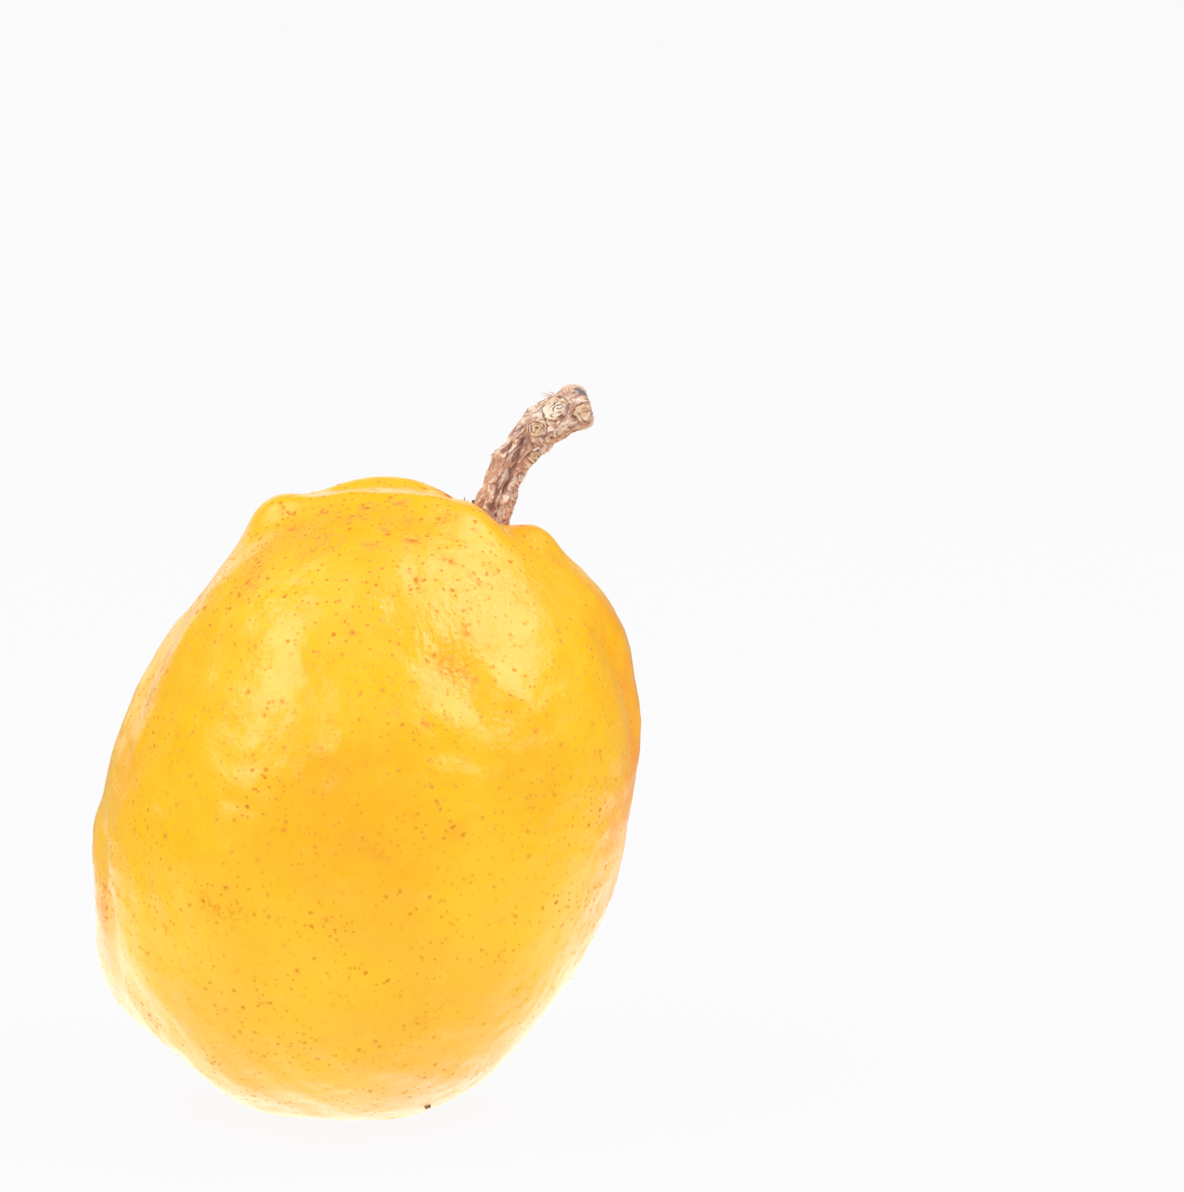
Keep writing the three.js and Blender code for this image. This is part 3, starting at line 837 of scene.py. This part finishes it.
def furrowed_bark(settings):
    """Twig bark: dry, corky and dull, pinkish brown with cream ridges, pale scars and dark cracks."""
    material, tree = new_material("furrowed twig bark")
    straight = add_node(tree, "ShaderNodeAttribute", attribute_name="straight").outputs["Vector"]
    grained = add_node(tree, "ShaderNodeVectorMath", {0: straight, 1: BARK_STRETCH}, operation="MULTIPLY")
    painted = {
        name: add_node(tree, "ShaderNodeAttribute", attribute_name=name).outputs["Fac"]
        for name in ("height", "gold", "pale", "dark", "slate")
    }

    # Hollows are brown and crests cream
    specks = add_node(tree, "ShaderNodeTexNoise", {
        "Vector": straight, "Scale": 1 / BARK_SPECKS, "Detail": 2.0,
    })
    lifted = add_node(tree, "ShaderNodeMapRange", {
        "Value": specks, "From Min": 0.3, "From Max": 0.7,
        "To Min": -BARK_SPECK_LIFT, "To Max": BARK_SPECK_LIFT,
    })
    height = add_node(tree, "ShaderNodeMath", {0: painted["height"], 1: lifted}, operation="ADD")
    crest = add_node(tree, "ShaderNodeMapRange", {
        "Value": height, "From Min": -BARK_HEIGHT_SPAN, "From Max": BARK_HEIGHT_SPAN,
    }, interpolation_type="SMOOTHSTEP")
    colour = add_node(tree, "ShaderNodeMix", {
        "Factor": crest, "A": settings.bark, "B": settings.cream,
    }, data_type="RGBA")
    for under, low, high, most, tone in BARK_COATS:
        source = painted.get(under) or add_node(tree, "ShaderNodeTexNoise", {
            "Vector": grained, "Scale": 1 / under, "Detail": 3.0,
        })
        share = add_node(tree, "ShaderNodeMapRange", {
            "Value": source, "From Min": low, "From Max": high, "To Max": most,
        }, interpolation_type="SMOOTHSTEP")
        colour = add_node(tree, "ShaderNodeMix", {
            "Factor": share, "A": colour, "B": linear(tone),
        }, data_type="RGBA")

    fibres = add_node(tree, "ShaderNodeTexNoise", {
        "Vector": grained, "Scale": 1 / BARK_FIBRES, "Detail": 4.0,
    })
    dust = add_node(tree, "ShaderNodeTexNoise", {"Vector": straight, "Scale": 1 / BARK_DUST, "Detail": 2.0})
    grain = add_node(tree, "ShaderNodeMath", {
        0: dust, 1: BARK_DUST_SHARE, 2: fibres,
    }, operation="MULTIPLY_ADD")
    shader = add_node(tree, "ShaderNodeBsdfPrincipled", {
        "Base Color": colour,
        "Normal": add_node(tree, "ShaderNodeBump", {"Height": grain, "Distance": BARK_BUMP_DEPTH * MM}),
        "Roughness": 0.82,
        "IOR": 1.45,
    })
    add_node(tree, "ShaderNodeOutputMaterial", {"Surface": shader})
    return material


def dry_calyx():
    """Dried sepals and style: papery and dead, dark brown with greyer edges, and dull."""
    material, tree = new_material("dry calyx")
    place = add_node(tree, "ShaderNodeTexCoord").outputs["Object"]
    mottle = add_node(tree, "ShaderNodeTexNoise", {
        "Vector": place, "Scale": 1 / (DRY_MOTTLE_SIZE * MM), "Detail": 4.0,
    })
    share = add_node(tree, "ShaderNodeMapRange", {"Value": mottle, "From Min": 0.35, "From Max": 0.65})
    shader = add_node(tree, "ShaderNodeBsdfPrincipled", {
        "Base Color": add_node(tree, "ShaderNodeMix", {
            "Factor": share, "A": linear(DRY_BROWN), "B": linear(DRY_GREY),
        }, data_type="RGBA"),
        "Normal": add_node(tree, "ShaderNodeBump", {"Height": mottle, "Distance": DRY_BUMP_DEPTH * MM}),
        "Roughness": 0.85,
    })
    add_node(tree, "ShaderNodeOutputMaterial", {"Surface": shader})
    return material


def stem_line(shares):
    """Points and directions at shares of the length of the stem's Bezier curve, and the length itself."""
    t = np.linspace(0, 1, STEM_LINE_STEPS)[:, None]
    p = np.array([(x, STEM_Y, z) for x, z in STEM_POINTS])
    line = (1 - t) ** 3 * p[0] + 3 * t * (1 - t) ** 2 * p[1] + 3 * t ** 2 * (1 - t) * p[2] + t ** 3 * p[3]
    travelled = np.concatenate([[0], np.cumsum(np.linalg.norm(np.diff(line, axis=0), axis=1))])
    forward = 3 * ((1 - t) ** 2 * (p[1] - p[0]) + 2 * t * (1 - t) * (p[2] - p[1]) + t ** 2 * (p[3] - p[2]))
    forward /= np.linalg.norm(forward, axis=1, keepdims=True)
    at = np.asarray(shares) * travelled[-1]
    points = np.stack([np.interp(at, travelled, line[:, i]) for i in range(3)], -1)
    headings = np.stack([np.interp(at, travelled, forward[:, i]) for i in range(3)], -1)
    return points, headings, travelled[-1]


def bark_distance(bark, start, end=None):
    """The distance on the bark to a place, or to the line between two places.

    The bark is how far along the stem each point is, its angle, and the plain radius there.
    """
    along, angle, plain = bark
    if end is not None:
        share = np.clip((along - start[0]) / (end[0] - start[0]), 0, 1)
        start = [first + share * (last - first) for first, last in zip(start, end)]
    turn = (angle - start[1] + 180) % 360 - 180
    return np.hypot(along - start[0], np.radians(turn) * plain)


def patches(bark, places):
    """How much each point belongs to any of some round patches, from 0 to 1."""
    return np.max([bell(bark_distance(bark, place), size) for place, size in places], axis=0)


def share_left(straight, mean, varies, size, seed):
    """How much of a mark is left at each point, from 0 to 1, as ripples wear it away."""
    return np.clip(mean + varies * ripples(straight, size, seed), 0, 1)


def bark_relief(straight, along, angle, plain):
    """The bark's fine relief in mm, and how pale, golden, dark or slate grey each point is, from 0 to 1.

    A lip with a gap round it runs about each scar and each ring within one. Cracks lie where waves pass
    through zero, long along the stem and short across it, and crumbs of two sizes cover the rest.
    """
    for size, strays in BARK_STRAYS:
        along = along + strays * ripples(straight, size, seed=21)
        angle = angle + np.degrees(strays * ripples(straight, size, seed=22) / plain)
    bark = (along, angle, plain)
    scars = [(bark_distance(bark, place), radius) for _, place, radius in SCARS]
    rings = scars + [(bark_distance(bark, place), radius) for _, place, radius in SCAR_EYES]
    floor = np.max([
        smooth(radius + SCAR_FLOOR_OUT - away, 0, SCAR_FLOOR_FADE) for away, radius in scars
    ], axis=0)
    crackled = patches(bark, CRACKLED_PATCHES)
    patchy = smooth(ripples(straight, CRACK_PATCH_SIZE, seed=17), *CRACK_PATCH_SPAN)
    long_crack = bell(ripples(straight, *LONG_CRACKS), LONG_CRACK_WIDTH + CRACKLED_WIDER * crackled)
    short_crack = bell(ripples(straight, *SHORT_CRACKS), SHORT_CRACK_WIDTH)
    smoothed = 1 - FLOOR_SMOOTHS_CRACKS * floor
    lip = np.max([bell(away - radius, LIP_WIDTH) for away, radius in rings], axis=0)
    gap = np.max([bell(away - radius - GAP_OUT, GAP_WIDTH) for away, radius in rings], axis=0)
    marks = {
        "long crack": long_crack * smoothed * np.maximum(CRACK_PATCH_STRENGTH * patchy, crackled),
        "short crack": short_crack * smoothed,
        "lip": lip * share_left(straight, *LIP_LEFT),
        "gap": gap * share_left(straight, *GAP_LEFT),
        "pit": np.max([bell(away, PIT_WIDTH) for away, radius in rings if radius < PIT_UNDER], axis=0),
        "furrow": np.max([bell(bark_distance(bark, start, end), width * FURROW_CORE)
                          for _, start, end, _, width in FURROWS], axis=0),
    }
    crumbs = sum(rise * ripples(straight, size, seed, stretch) for size, stretch, rise, seed in BARK_CRUMBS)
    relief = crumbs * (1 - FLOOR_SMOOTHS_CRUMBS * floor)
    relief = relief + sum(rise * marks[name] for name, (rise, _) in BARK_MARKS.items())
    away, radius = scars[LARGE_SCAR]
    pale = np.maximum(patches(bark, PALE_PATCHES), smooth(radius - away, *PALE_FLOOR))
    marks["furrow"] = marks["furrow"] * share_left(straight, *FURROW_LEFT)
    spots = patches(bark, DARK_PATCHES) * share_left(straight, *DARK_LEFT)
    dark = np.max([spots, *(darkness * marks[name] for name, (_, darkness) in BARK_MARKS.items())], axis=0)
    gold = np.maximum(marks["lip"], GOLD_FLOOR * floor) * (pale < 0.5)
    return relief, pale, gold, dark, patches(bark, SLATE_PATCHES)


def bark_ridges(along, angle):
    """Lengthwise ridges that wander round the stem, and rings across it."""
    a = np.radians(angle)
    ridges = sum(
        strength * np.sin(count * a + winding * along + start)
        for count, winding, start, strength in BARK_RIDGES
    )
    pace, sway, start, strength = BARK_RINGS
    return BARK_RISE * (ridges + strength * np.sin(pace * along + sway * np.sin(a + start)))


def stem_radius(along, angle, length, settings):
    """The stem's radius: a taper with ridges, knobs, scars and furrows added, and its end rounded off."""
    low, high = settings.radius_low / MM, settings.radius_high / MM
    plain = low + (high - low) * smooth(along / length, *STEM_TAPER)
    bark = (along, angle, plain)
    radius = plain + bark_ridges(along, angle)
    for _, place, rise, spread in KNOBS:
        radius = radius + rise * bell(bark_distance(bark, place), spread)
    for _, place, scar in SCARS:
        away = bark_distance(bark, place)
        radius = radius + SCAR_LIP_RISE * bell(away - scar, SCAR_LIP_WIDTH)
        radius = radius - SCAR_PIT_DEPTH * bell(away, scar * SCAR_PIT_WIDTH)
    for _, start, end, depth, width in FURROWS:
        radius = radius - depth * bell(bark_distance(bark, start, end), width)
    from_end = np.clip((along - (length - STEM_ROUND_END)) / STEM_ROUND_END, 0, 1)
    return plain, radius * (1 - STEM_END_NARROWS * from_end ** 2)


def stem_place(along, angle, radius, length):
    """The point at a radius from the stem's centre line."""
    middle, forward, _ = stem_line(np.clip(along / length, 0, 1))
    upper_left = np.stack([-forward[..., 2], np.zeros(len(forward)), forward[..., 0]], -1)
    a = np.radians(angle)[:, None]
    outward = np.sin(a) * upper_left + np.cos(a) * np.array([0.0, -1.0, 0.0])
    past_end = (along - np.clip(along, 0, length))[:, None]
    return middle + outward * radius[:, None] + forward * past_end


def turned(turn, side, up):
    """The direction at each turn from side towards up."""
    return np.outer(np.cos(turn), side) + np.outer(np.sin(turn), up)


def length_setting(name, description, size):
    """A length that a user can change, given in mm."""
    return FloatProperty(name=name, description=description, default=size * MM, unit="LENGTH", precision=5)


def colour_setting(name, description, colour):
    """A colour that a user can change, given as an sRGB hex value."""
    return FloatVectorProperty(
        name=name, description=description, subtype="COLOR", size=4, default=linear(colour))


def brightness_setting(name, description, brightness):
    """A brightness that a user can change, where 1 is white."""
    return FloatProperty(name=name, description=description, default=brightness, min=0)


class JocoteFruitSettings(bpy.types.PropertyGroup):
    """Sizes and colours of the fruit"""

    half_width: length_setting("Half width", "From the middle to the side", 16.85)
    half_depth: length_setting("Half depth", "From the middle to the front", 16.4)
    half_height: length_setting("Half height", "From the middle to the end of the long axis", 20.6)
    lean: FloatProperty(
        name="Lean", description="How far the long axis leans to the right", default=np.radians(16),
        subtype="ANGLE")
    yellow: colour_setting("Yellow", "The palest clouds of the skin", "#FFC506")
    amber: colour_setting("Amber", "The deepest clouds of the skin", "#FFBC04")
    # Also the colour of the painted reflection of a neighbouring orange fruit down the right edge
    blush_and_reflection: colour_setting("Blush", "Where the skin is ripest or bruised", "#FFA004")
    # The colour of the painted glow of the light table round the underside and lower edges
    pale: colour_setting("Pale", "The palest skin, round the underside", "#FFDCC8")


class JocoteStemSettings(bpy.types.PropertyGroup):
    """Sizes and colours of the stem"""

    radius_low: length_setting("Radius at the foot", "Half the stem's thickness at its foot", 1.1)
    radius_high: length_setting("Radius at the end", "Half the stem's thickness at its end", 1.32)
    bark: colour_setting("Bark", "The main colour of the bark", "#C69278")
    cream: colour_setting("Cream", "The pale ridges of the bark", "#F9E0C8")


class JocoteStageSettings(bpy.types.PropertyGroup):
    """Light on the table and round it"""

    left_light: brightness_setting("Left light", "The left softbox, as a light", 1.5)
    left_sheen: brightness_setting("Left sheen", "The left softbox, in the skin's sheen", 6.4)
    right_light: brightness_setting("Right light", "The right softbox, as a light", 1.44)
    right_sheen: brightness_setting("Right sheen", "The right softbox, in the skin's sheen", 6.5)
    table_glow: brightness_setting("Table glow", "How brightly the table lights the fruit from below", 0.87)
    table_mirrored: brightness_setting("Table mirrored", "The table, in the skin's sheen", 2.25)
    room_light: brightness_setting("Room light", "How brightly the room lights the fruit", 0.82)


class JOCOTE_OT_fruit(bpy.types.Operator):
    """Builds the fruit with its skin"""

    bl_idname = "jocote.fruit"
    bl_label = "Fruit"

    def execute(self, context):
        # In each direction the fruit's radius plus its fine relief, cut off flat at the table
        settings = context.scene.jocote_fruit
        height, turn = ring_grid(np.linspace(-90, 90, FRUIT_RINGS + 2), FRUIT_SIDES)
        directions = toward((np.degrees(turn), height))
        points = skin_points(directions, settings, skin_relief(directions))
        points[:, 2] = np.maximum(points[:, 2], 0)
        faces = ring_faces(FRUIT_RINGS, FRUIT_SIDES)
        fruit = new_piece("fruit_skin", points, *faces, waxy_skin(settings), "fruit_skin")
        write_attribute(fruit, "blush_and_reflection", np.minimum(np.sum(marks_shown(directions, BLUSHES_AND_REFLECTIONS), axis=0), 1))
        for name, marks in (("painted_glow", PAINTED_GLOW_BANDS), ("streak", STREAKS), ("crumple", CRUMPLES),
                            ("creased", CREASES)):
            write_attribute(fruit, name, np.max(marks_shown(directions, marks), axis=0))
        crowd = CROWD_LEAST + sum(more * smooth(height, low, high) for more, low, high in CROWD_RISES)
        crowd = crowd + CROWD_VARIES * ripples(directions * SKIN_REACH, CROWD_SIZE, seed=9)
        write_attribute(fruit, "crowd", np.clip(crowd, *CROWD_LIMITS))
        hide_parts("fruit")
        return {"FINISHED"}


class JOCOTE_OT_style(bpy.types.Operator):
    """Builds the dry style tip near the bottom of the fruit"""

    bl_idname = "jocote.style"
    bl_label = "Style tip"

    def execute(self, context):
        # A stub whose radius falls by a power of the way along it, with twisted ribs and a bumpy end
        share, turn, rim = finger_grid(STYLE_RINGS, STYLE_SIDES)
        ribs = 1 + STYLE_RIB_RISE * np.cos(STYLE_RIBS * turn + STYLE_RIB_TWIST * share)
        radius = rim * STYLE_RADIUS * (1 - STYLE_TAPER * share ** STYLE_TAPER_POWER) * ribs
        bumps = 1 - STYLE_BUMP_RISE * np.cos(STYLE_BUMPS * turn + 1)
        height = share * (STYLE_RISE + STYLE_SUNK) * bumps - STYLE_SUNK
        middle = toward(STYLE_AT)
        foot = skin_points(middle, context.scene.jocote_fruit)
        points = foot + np.outer(height, middle) + radius[:, None] * turned(turn, *tangents(middle))
        faces = ring_faces(STYLE_RINGS, STYLE_SIDES)
        style = new_piece("style_tip", points, *faces, dry_calyx(), "dry_calyx")
        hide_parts("fruit")
        return {"FINISHED"}


class JOCOTE_OT_stem(bpy.types.Operator):
    """Builds the bent stem with its bark and frayed fibres"""

    bl_idname = "jocote.stem"
    bl_label = "Stem"

    def execute(self, context):
        # Rings about the curved line, at the bark's radius plus its relief, then a cap of rings that close in
        # on the line's end, rippled by a cosine and sunk by a smooth S towards the middle
        settings = context.scene.jocote_stem
        length = stem_line([0])[2]
        cap = np.linspace(0, STEM_CAP_CLOSES, STEM_CAP_RINGS + 1)[1:]
        inward, turn = ring_grid(np.concatenate([[1], np.zeros(STEM_RINGS), cap, [1]]), STEM_SIDES)
        steps = np.pad(np.linspace(0, length, STEM_RINGS), (1, STEM_CAP_RINGS + 1), "edge")
        along = ring_grid(steps, STEM_SIDES)[0]
        angle = np.degrees(turn)
        plain, radius = stem_radius(along, angle, length, settings)
        reach = plain * (1 - inward)
        straight = np.stack([reach * np.cos(turn), reach * np.sin(turn), along], -1)
        relief, pale, gold, dark, slate = bark_relief(straight, along, angle, plain)
        points = stem_place(along, angle, (radius + relief) * (1 - inward), length)
        dish = STEM_END_RIPPLE * np.cos(inward * STEM_END_RIPPLE_PACE + 1) + relief
        dish = (dish - STEM_END_DISH * smooth(inward, *STEM_DISHED)) * (inward > 0) * (along > 1)
        points = points + np.outer(dish, stem_line([1])[1])
        material = furrowed_bark(settings)
        faces = ring_faces(STEM_RINGS + STEM_CAP_RINGS, STEM_SIDES)
        stem = new_piece("stem_bark", points, *faces, material, "stem_bark")
        height = relief * BARK_HEIGHT_GAIN + BARK_HEIGHT_SHIFT + BARK_PALER_BY * smooth(along, *BARK_PALER)
        for name, values in (("height", height), ("pale", pale), ("gold", gold), ("dark", dark),
                             ("slate", slate), ("straight", straight)):
            write_attribute(stem, name, values)
        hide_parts("stem")
        self.add_fibres(length, settings, material)
        return {"FINISHED"}

    def add_fibres(self, length, settings, material):
        """Thin tapering hairs of bark, each along a bent path with its radius falling to its tip."""
        share, turn, rim = finger_grid(FIBRE_RINGS, FIBRE_SIDES)
        thick = rim * FIBRE_RADIUS * (1 - FIBRE_TAPER * share)
        points = []
        for place, (back, up, behind) in FIBRES:
            along, angle = np.array([place], float).T
            radius = stem_radius(along, angle, length, settings)[1]
            root = stem_place(along, angle, radius - FIBRE_SUNK, length)
            reach = np.array([back, behind, up])
            path = root + np.outer(share, reach) + np.outer(np.sin(np.pi * share) * share, FIBRE_SAG)
            ring = turned(turn, *tangents(reach / np.linalg.norm(reach), (0, -1, 0)))
            points.append(path + thick[:, None] * ring)
        shift = np.arange(len(FIBRES))[:, None, None] * len(share)
        quads, triangles = (shift + faces for faces in ring_faces(FIBRE_RINGS, FIBRE_SIDES))
        fibres = new_piece("stem_fibres", np.concatenate(points), np.concatenate(quads),
                           np.concatenate(triangles), material, "stem_bark")
        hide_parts("stem")


class JOCOTE_OT_calyx(bpy.types.Operator):
    """Builds what is left of the dry calyx round the stem's foot"""

    bl_idname = "jocote.calyx"
    bl_label = "Calyx"

    def execute(self, context):
        # Oval rings carried round the stem on the fruit's skin. Each spans from the inner edge to the outer
        # one, a circle plus waves and lobes that fall off by a power. They shrink to nothing at both ends
        share, turn = ring_grid(np.linspace(0, 1, CALYX_RINGS + 2), CALYX_SIDES)
        around = CALYX_FROM + share * (CALYX_TO - CALYX_FROM)
        reach = CALYX_RING + sum(fray * np.sin(around * pace) for fray, pace in CALYX_FRAY)
        for angle, lobe, half_width in CALYX_LOBES:
            reach += lobe * np.maximum(0, 1 - np.abs(around - angle) / half_width) ** CALYX_LOBE_POWER
        closing = np.sqrt(np.clip(1 - (2 * share - 1) ** CALYX_END_POWER, 0, 1))
        out = (CALYX_INNER + reach) / 2 + (reach - CALYX_INNER) / 2 * closing * np.cos(turn)
        out_share = (out - CALYX_INNER) / (reach - CALYX_INNER)
        thin = 1 - CALYX_THINS_BY * smooth(out_share, CALYX_THINS_FROM, 1)
        lift = CALYX_THICKNESS / 2 * (1 + closing * np.sin(turn) * thin)
        lift += CALYX_CURL * smooth(out, CALYX_RING, CALYX_RING + CALYX_CURL_OVER)
        a, tilt = np.radians(around), np.radians(CALYX_TILT)
        flat_x, flat_y = out * np.cos(a), out * np.sin(a)
        spot = np.stack([flat_x * np.cos(tilt), flat_y, -flat_x * np.sin(tilt)], -1)
        directions = CALYX_MIDDLE + spot - MIDDLE
        directions /= np.linalg.norm(directions, axis=-1, keepdims=True)
        points = skin_points(directions, context.scene.jocote_fruit, lift)
        faces = ring_faces(CALYX_RINGS, CALYX_SIDES)
        calyx = new_piece("calyx_collar", points, *faces, dry_calyx(), "dry_calyx")
        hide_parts("calyx")
        return {"FINISHED"}


class JOCOTE_OT_stage(bpy.types.Operator):
    """Sets the white table, the softboxes, the sky and the camera"""

    bl_idname = "jocote.stage"
    bl_label = "Stage"

    def execute(self, context):
        settings = context.scene.jocote_stage
        self.add_table(settings)
        self.add_sky(context.scene, settings)
        self.add_softbox("left softbox", *LEFT_SOFTBOX, settings.left_light, settings.left_sheen)
        self.add_softbox("right softbox", *RIGHT_SOFTBOX, settings.right_light, settings.right_sheen)
        self.add_camera(context.scene)
        return {"FINISHED"}

    def add_white(self, tree, seen, lit, mirrored):
        """A brightness with one value where the camera sees it, one where it lights, one where it mirrors."""
        ray = add_node(tree, "ShaderNodeLightPath").outputs
        gloss = add_node(tree, "ShaderNodeMix", {"Factor": ray["Is Glossy Ray"], "A": lit, "B": mirrored})
        return add_node(tree, "ShaderNodeMix", {"Factor": ray["Is Camera Ray"], "A": gloss, "B": seen})

    def add_table(self, settings):
        """A flat disc that glows, as a light table does, so that the fruit stands in white."""
        turn = np.linspace(0, 2 * np.pi, TABLE_SIDES, endpoint=False)
        points = TABLE_RADIUS * np.stack([np.cos(turn), np.sin(turn), np.zeros(TABLE_SIDES)], -1)
        mesh = bpy.data.meshes.new("table")
        mesh.from_pydata(points.tolist(), [], [list(range(TABLE_SIDES))])
        material, tree = new_material("glowing white acrylic")
        place = add_node(tree, "ShaderNodeTexCoord").outputs["Object"]
        away = add_node(tree, "ShaderNodeVectorMath", {0: place}, operation="LENGTH")
        mirrored = add_node(tree, "ShaderNodeMapRange", {
            "Value": away, "From Min": TABLE_NEAR, "From Max": TABLE_FAR,
            "To Min": settings.table_mirrored, "To Max": TABLE_FAR_MIRRORED,
        }, interpolation_type="SMOOTHSTEP")
        shader = add_node(tree, "ShaderNodeBsdfPrincipled", {
            "Base Color": (0.05, 0.05, 0.05, 1),
            "Emission Color": linear(WHITE),
            "Emission Strength": self.add_white(tree, TABLE_SEEN, settings.table_glow, mirrored),
            "Roughness": 0.4,
            "Specular IOR Level": 0.0,
        })
        add_node(tree, "ShaderNodeOutputMaterial", {"Surface": shader})
        material.cycles.emission_sampling = "NONE"
        mesh.materials.append(material)
        table = bpy.data.objects.new("table", mesh)
        bpy.context.scene.collection.objects.link(table)

    def add_sky(self, scene, settings):
        """A dim room with a white backdrop behind the fruit, which the edges of the fruit mirror."""
        world = bpy.data.worlds.new("white room")
        world.use_nodes = True
        world.cycles.sampling_method = "NONE"
        tree = world.node_tree
        tree.nodes.clear()
        direction = add_node(tree, "ShaderNodeTexCoord").outputs["Generated"]
        facing = add_node(tree, "ShaderNodeVectorMath", {
            0: direction, 1: BACKDROP_HEADING,
        }, operation="DOT_PRODUCT")
        mirrored = add_node(tree, "ShaderNodeMapRange", {
            "Value": facing, "From Min": BACKDROP_EDGE[0], "From Max": BACKDROP_EDGE[1],
            "To Min": ROOM_MIRRORED, "To Max": BACKDROP_MIRRORED,
        }, interpolation_type="SMOOTHSTEP")
        light = add_node(tree, "ShaderNodeBackground", {
            "Color": linear(WHITE),
            "Strength": self.add_white(tree, ROOM_SEEN, settings.room_light, mirrored),
        })
        add_node(tree, "ShaderNodeOutputWorld", {"Surface": light})
        scene.world = world

    def add_softbox(self, name, start, end, width, light, sheen):
        """Two soft lights in one place, facing the fruit: one lights it and the other is mirrored in it."""
        first, last = Vector(toward(start)), Vector(toward(end))
        away = (first + last).normalized()
        long_side = (last - first).normalized()
        turn = Matrix((long_side.cross(away), long_side, away)).transposed().to_4x4()
        length = 2 * SOFTBOX_DISTANCE * np.tan(first.angle(last) / 2)
        for share, brightness in (("light", light), ("sheen", sheen)):
            lamp = bpy.data.lights.new(f"{name} {share}", "AREA")
            lamp.shape = "RECTANGLE"
            lamp.size = width
            lamp.size_y = length
            lamp.energy = brightness * np.pi * width * length
            softbox = bpy.data.objects.new(f"{name} {share}", lamp)
            softbox.matrix_world = Matrix.Translation(Vector(MIDDLE * MM) + away * SOFTBOX_DISTANCE) @ turn
            softbox.visible_diffuse = share == "light"
            softbox.visible_glossy = share == "sheen"
            bpy.context.scene.collection.objects.link(softbox)

    def add_camera(self, scene):
        """The camera of the view: level with the fruit's top, a little way down, and square to it."""
        side = (PHOTO_WIDTH / 2 - ORIGIN_PIXEL[0]) * MM_PER_PIXEL
        rise = (ORIGIN_PIXEL[1] - PHOTO_HEIGHT / 2) * MM_PER_PIXEL / np.cos(CAMERA_ELEVATION)
        forward = np.array([0, np.cos(CAMERA_ELEVATION), -np.sin(CAMERA_ELEVATION)])
        spot = np.array([side, 0, rise]) - CAMERA_DISTANCE * forward
        lens = bpy.data.cameras.new("camera")
        lens.sensor_width = SENSOR
        lens.lens = CAMERA_DISTANCE / MM_PER_PIXEL * SENSOR / PHOTO_HEIGHT
        lens.clip_start = CAMERA_CLIP
        camera = bpy.data.objects.new("camera", lens)
        camera.location = Vector(spot * MM)
        camera.rotation_euler = (np.pi / 2 - CAMERA_ELEVATION, 0, 0)
        scene.collection.objects.link(camera)
        scene.camera = camera
        scene.view_settings.view_transform = "Standard"


class JOCOTE_PT_panel(bpy.types.Panel):
    """Buttons for each piece, in the order that they are built"""

    bl_label = "Jocote"
    bl_idname = "JOCOTE_PT_panel"
    bl_space_type = "VIEW_3D"
    bl_region_type = "UI"
    bl_category = "Jocote"

    def draw(self, context):
        for operator in OPERATORS:
            self.layout.operator(operator.bl_idname)
        for group in (context.scene.jocote_fruit, context.scene.jocote_stem, context.scene.jocote_stage):
            for name in group.bl_rna.properties.keys():
                if name not in ("rna_type", "name"):
                    self.layout.prop(group, name)


OPERATORS = (JOCOTE_OT_stage, JOCOTE_OT_fruit, JOCOTE_OT_style, JOCOTE_OT_stem, JOCOTE_OT_calyx)
SETTINGS = (JocoteFruitSettings, JocoteStemSettings, JocoteStageSettings)
CLASSES = (*SETTINGS, *OPERATORS, JOCOTE_PT_panel)


def register():
    """Registers the classes and hangs the settings on the scene."""
    for entry in CLASSES:
        bpy.utils.register_class(entry)
    bpy.types.Scene.jocote_fruit = PointerProperty(type=JocoteFruitSettings)
    bpy.types.Scene.jocote_stem = PointerProperty(type=JocoteStemSettings)
    bpy.types.Scene.jocote_stage = PointerProperty(type=JocoteStageSettings)


def unregister():
    """Takes away what register added."""
    del bpy.types.Scene.jocote_stage
    del bpy.types.Scene.jocote_stem
    del bpy.types.Scene.jocote_fruit
    for entry in reversed(CLASSES):
        bpy.utils.unregister_class(entry)


def main():
    """Builds everything in order."""
    register()
    bpy.ops.jocote.stage()
    bpy.ops.jocote.fruit()
    bpy.ops.jocote.style()
    bpy.ops.jocote.stem()
    bpy.ops.jocote.calyx()


if __name__ == "__main__":
    main()
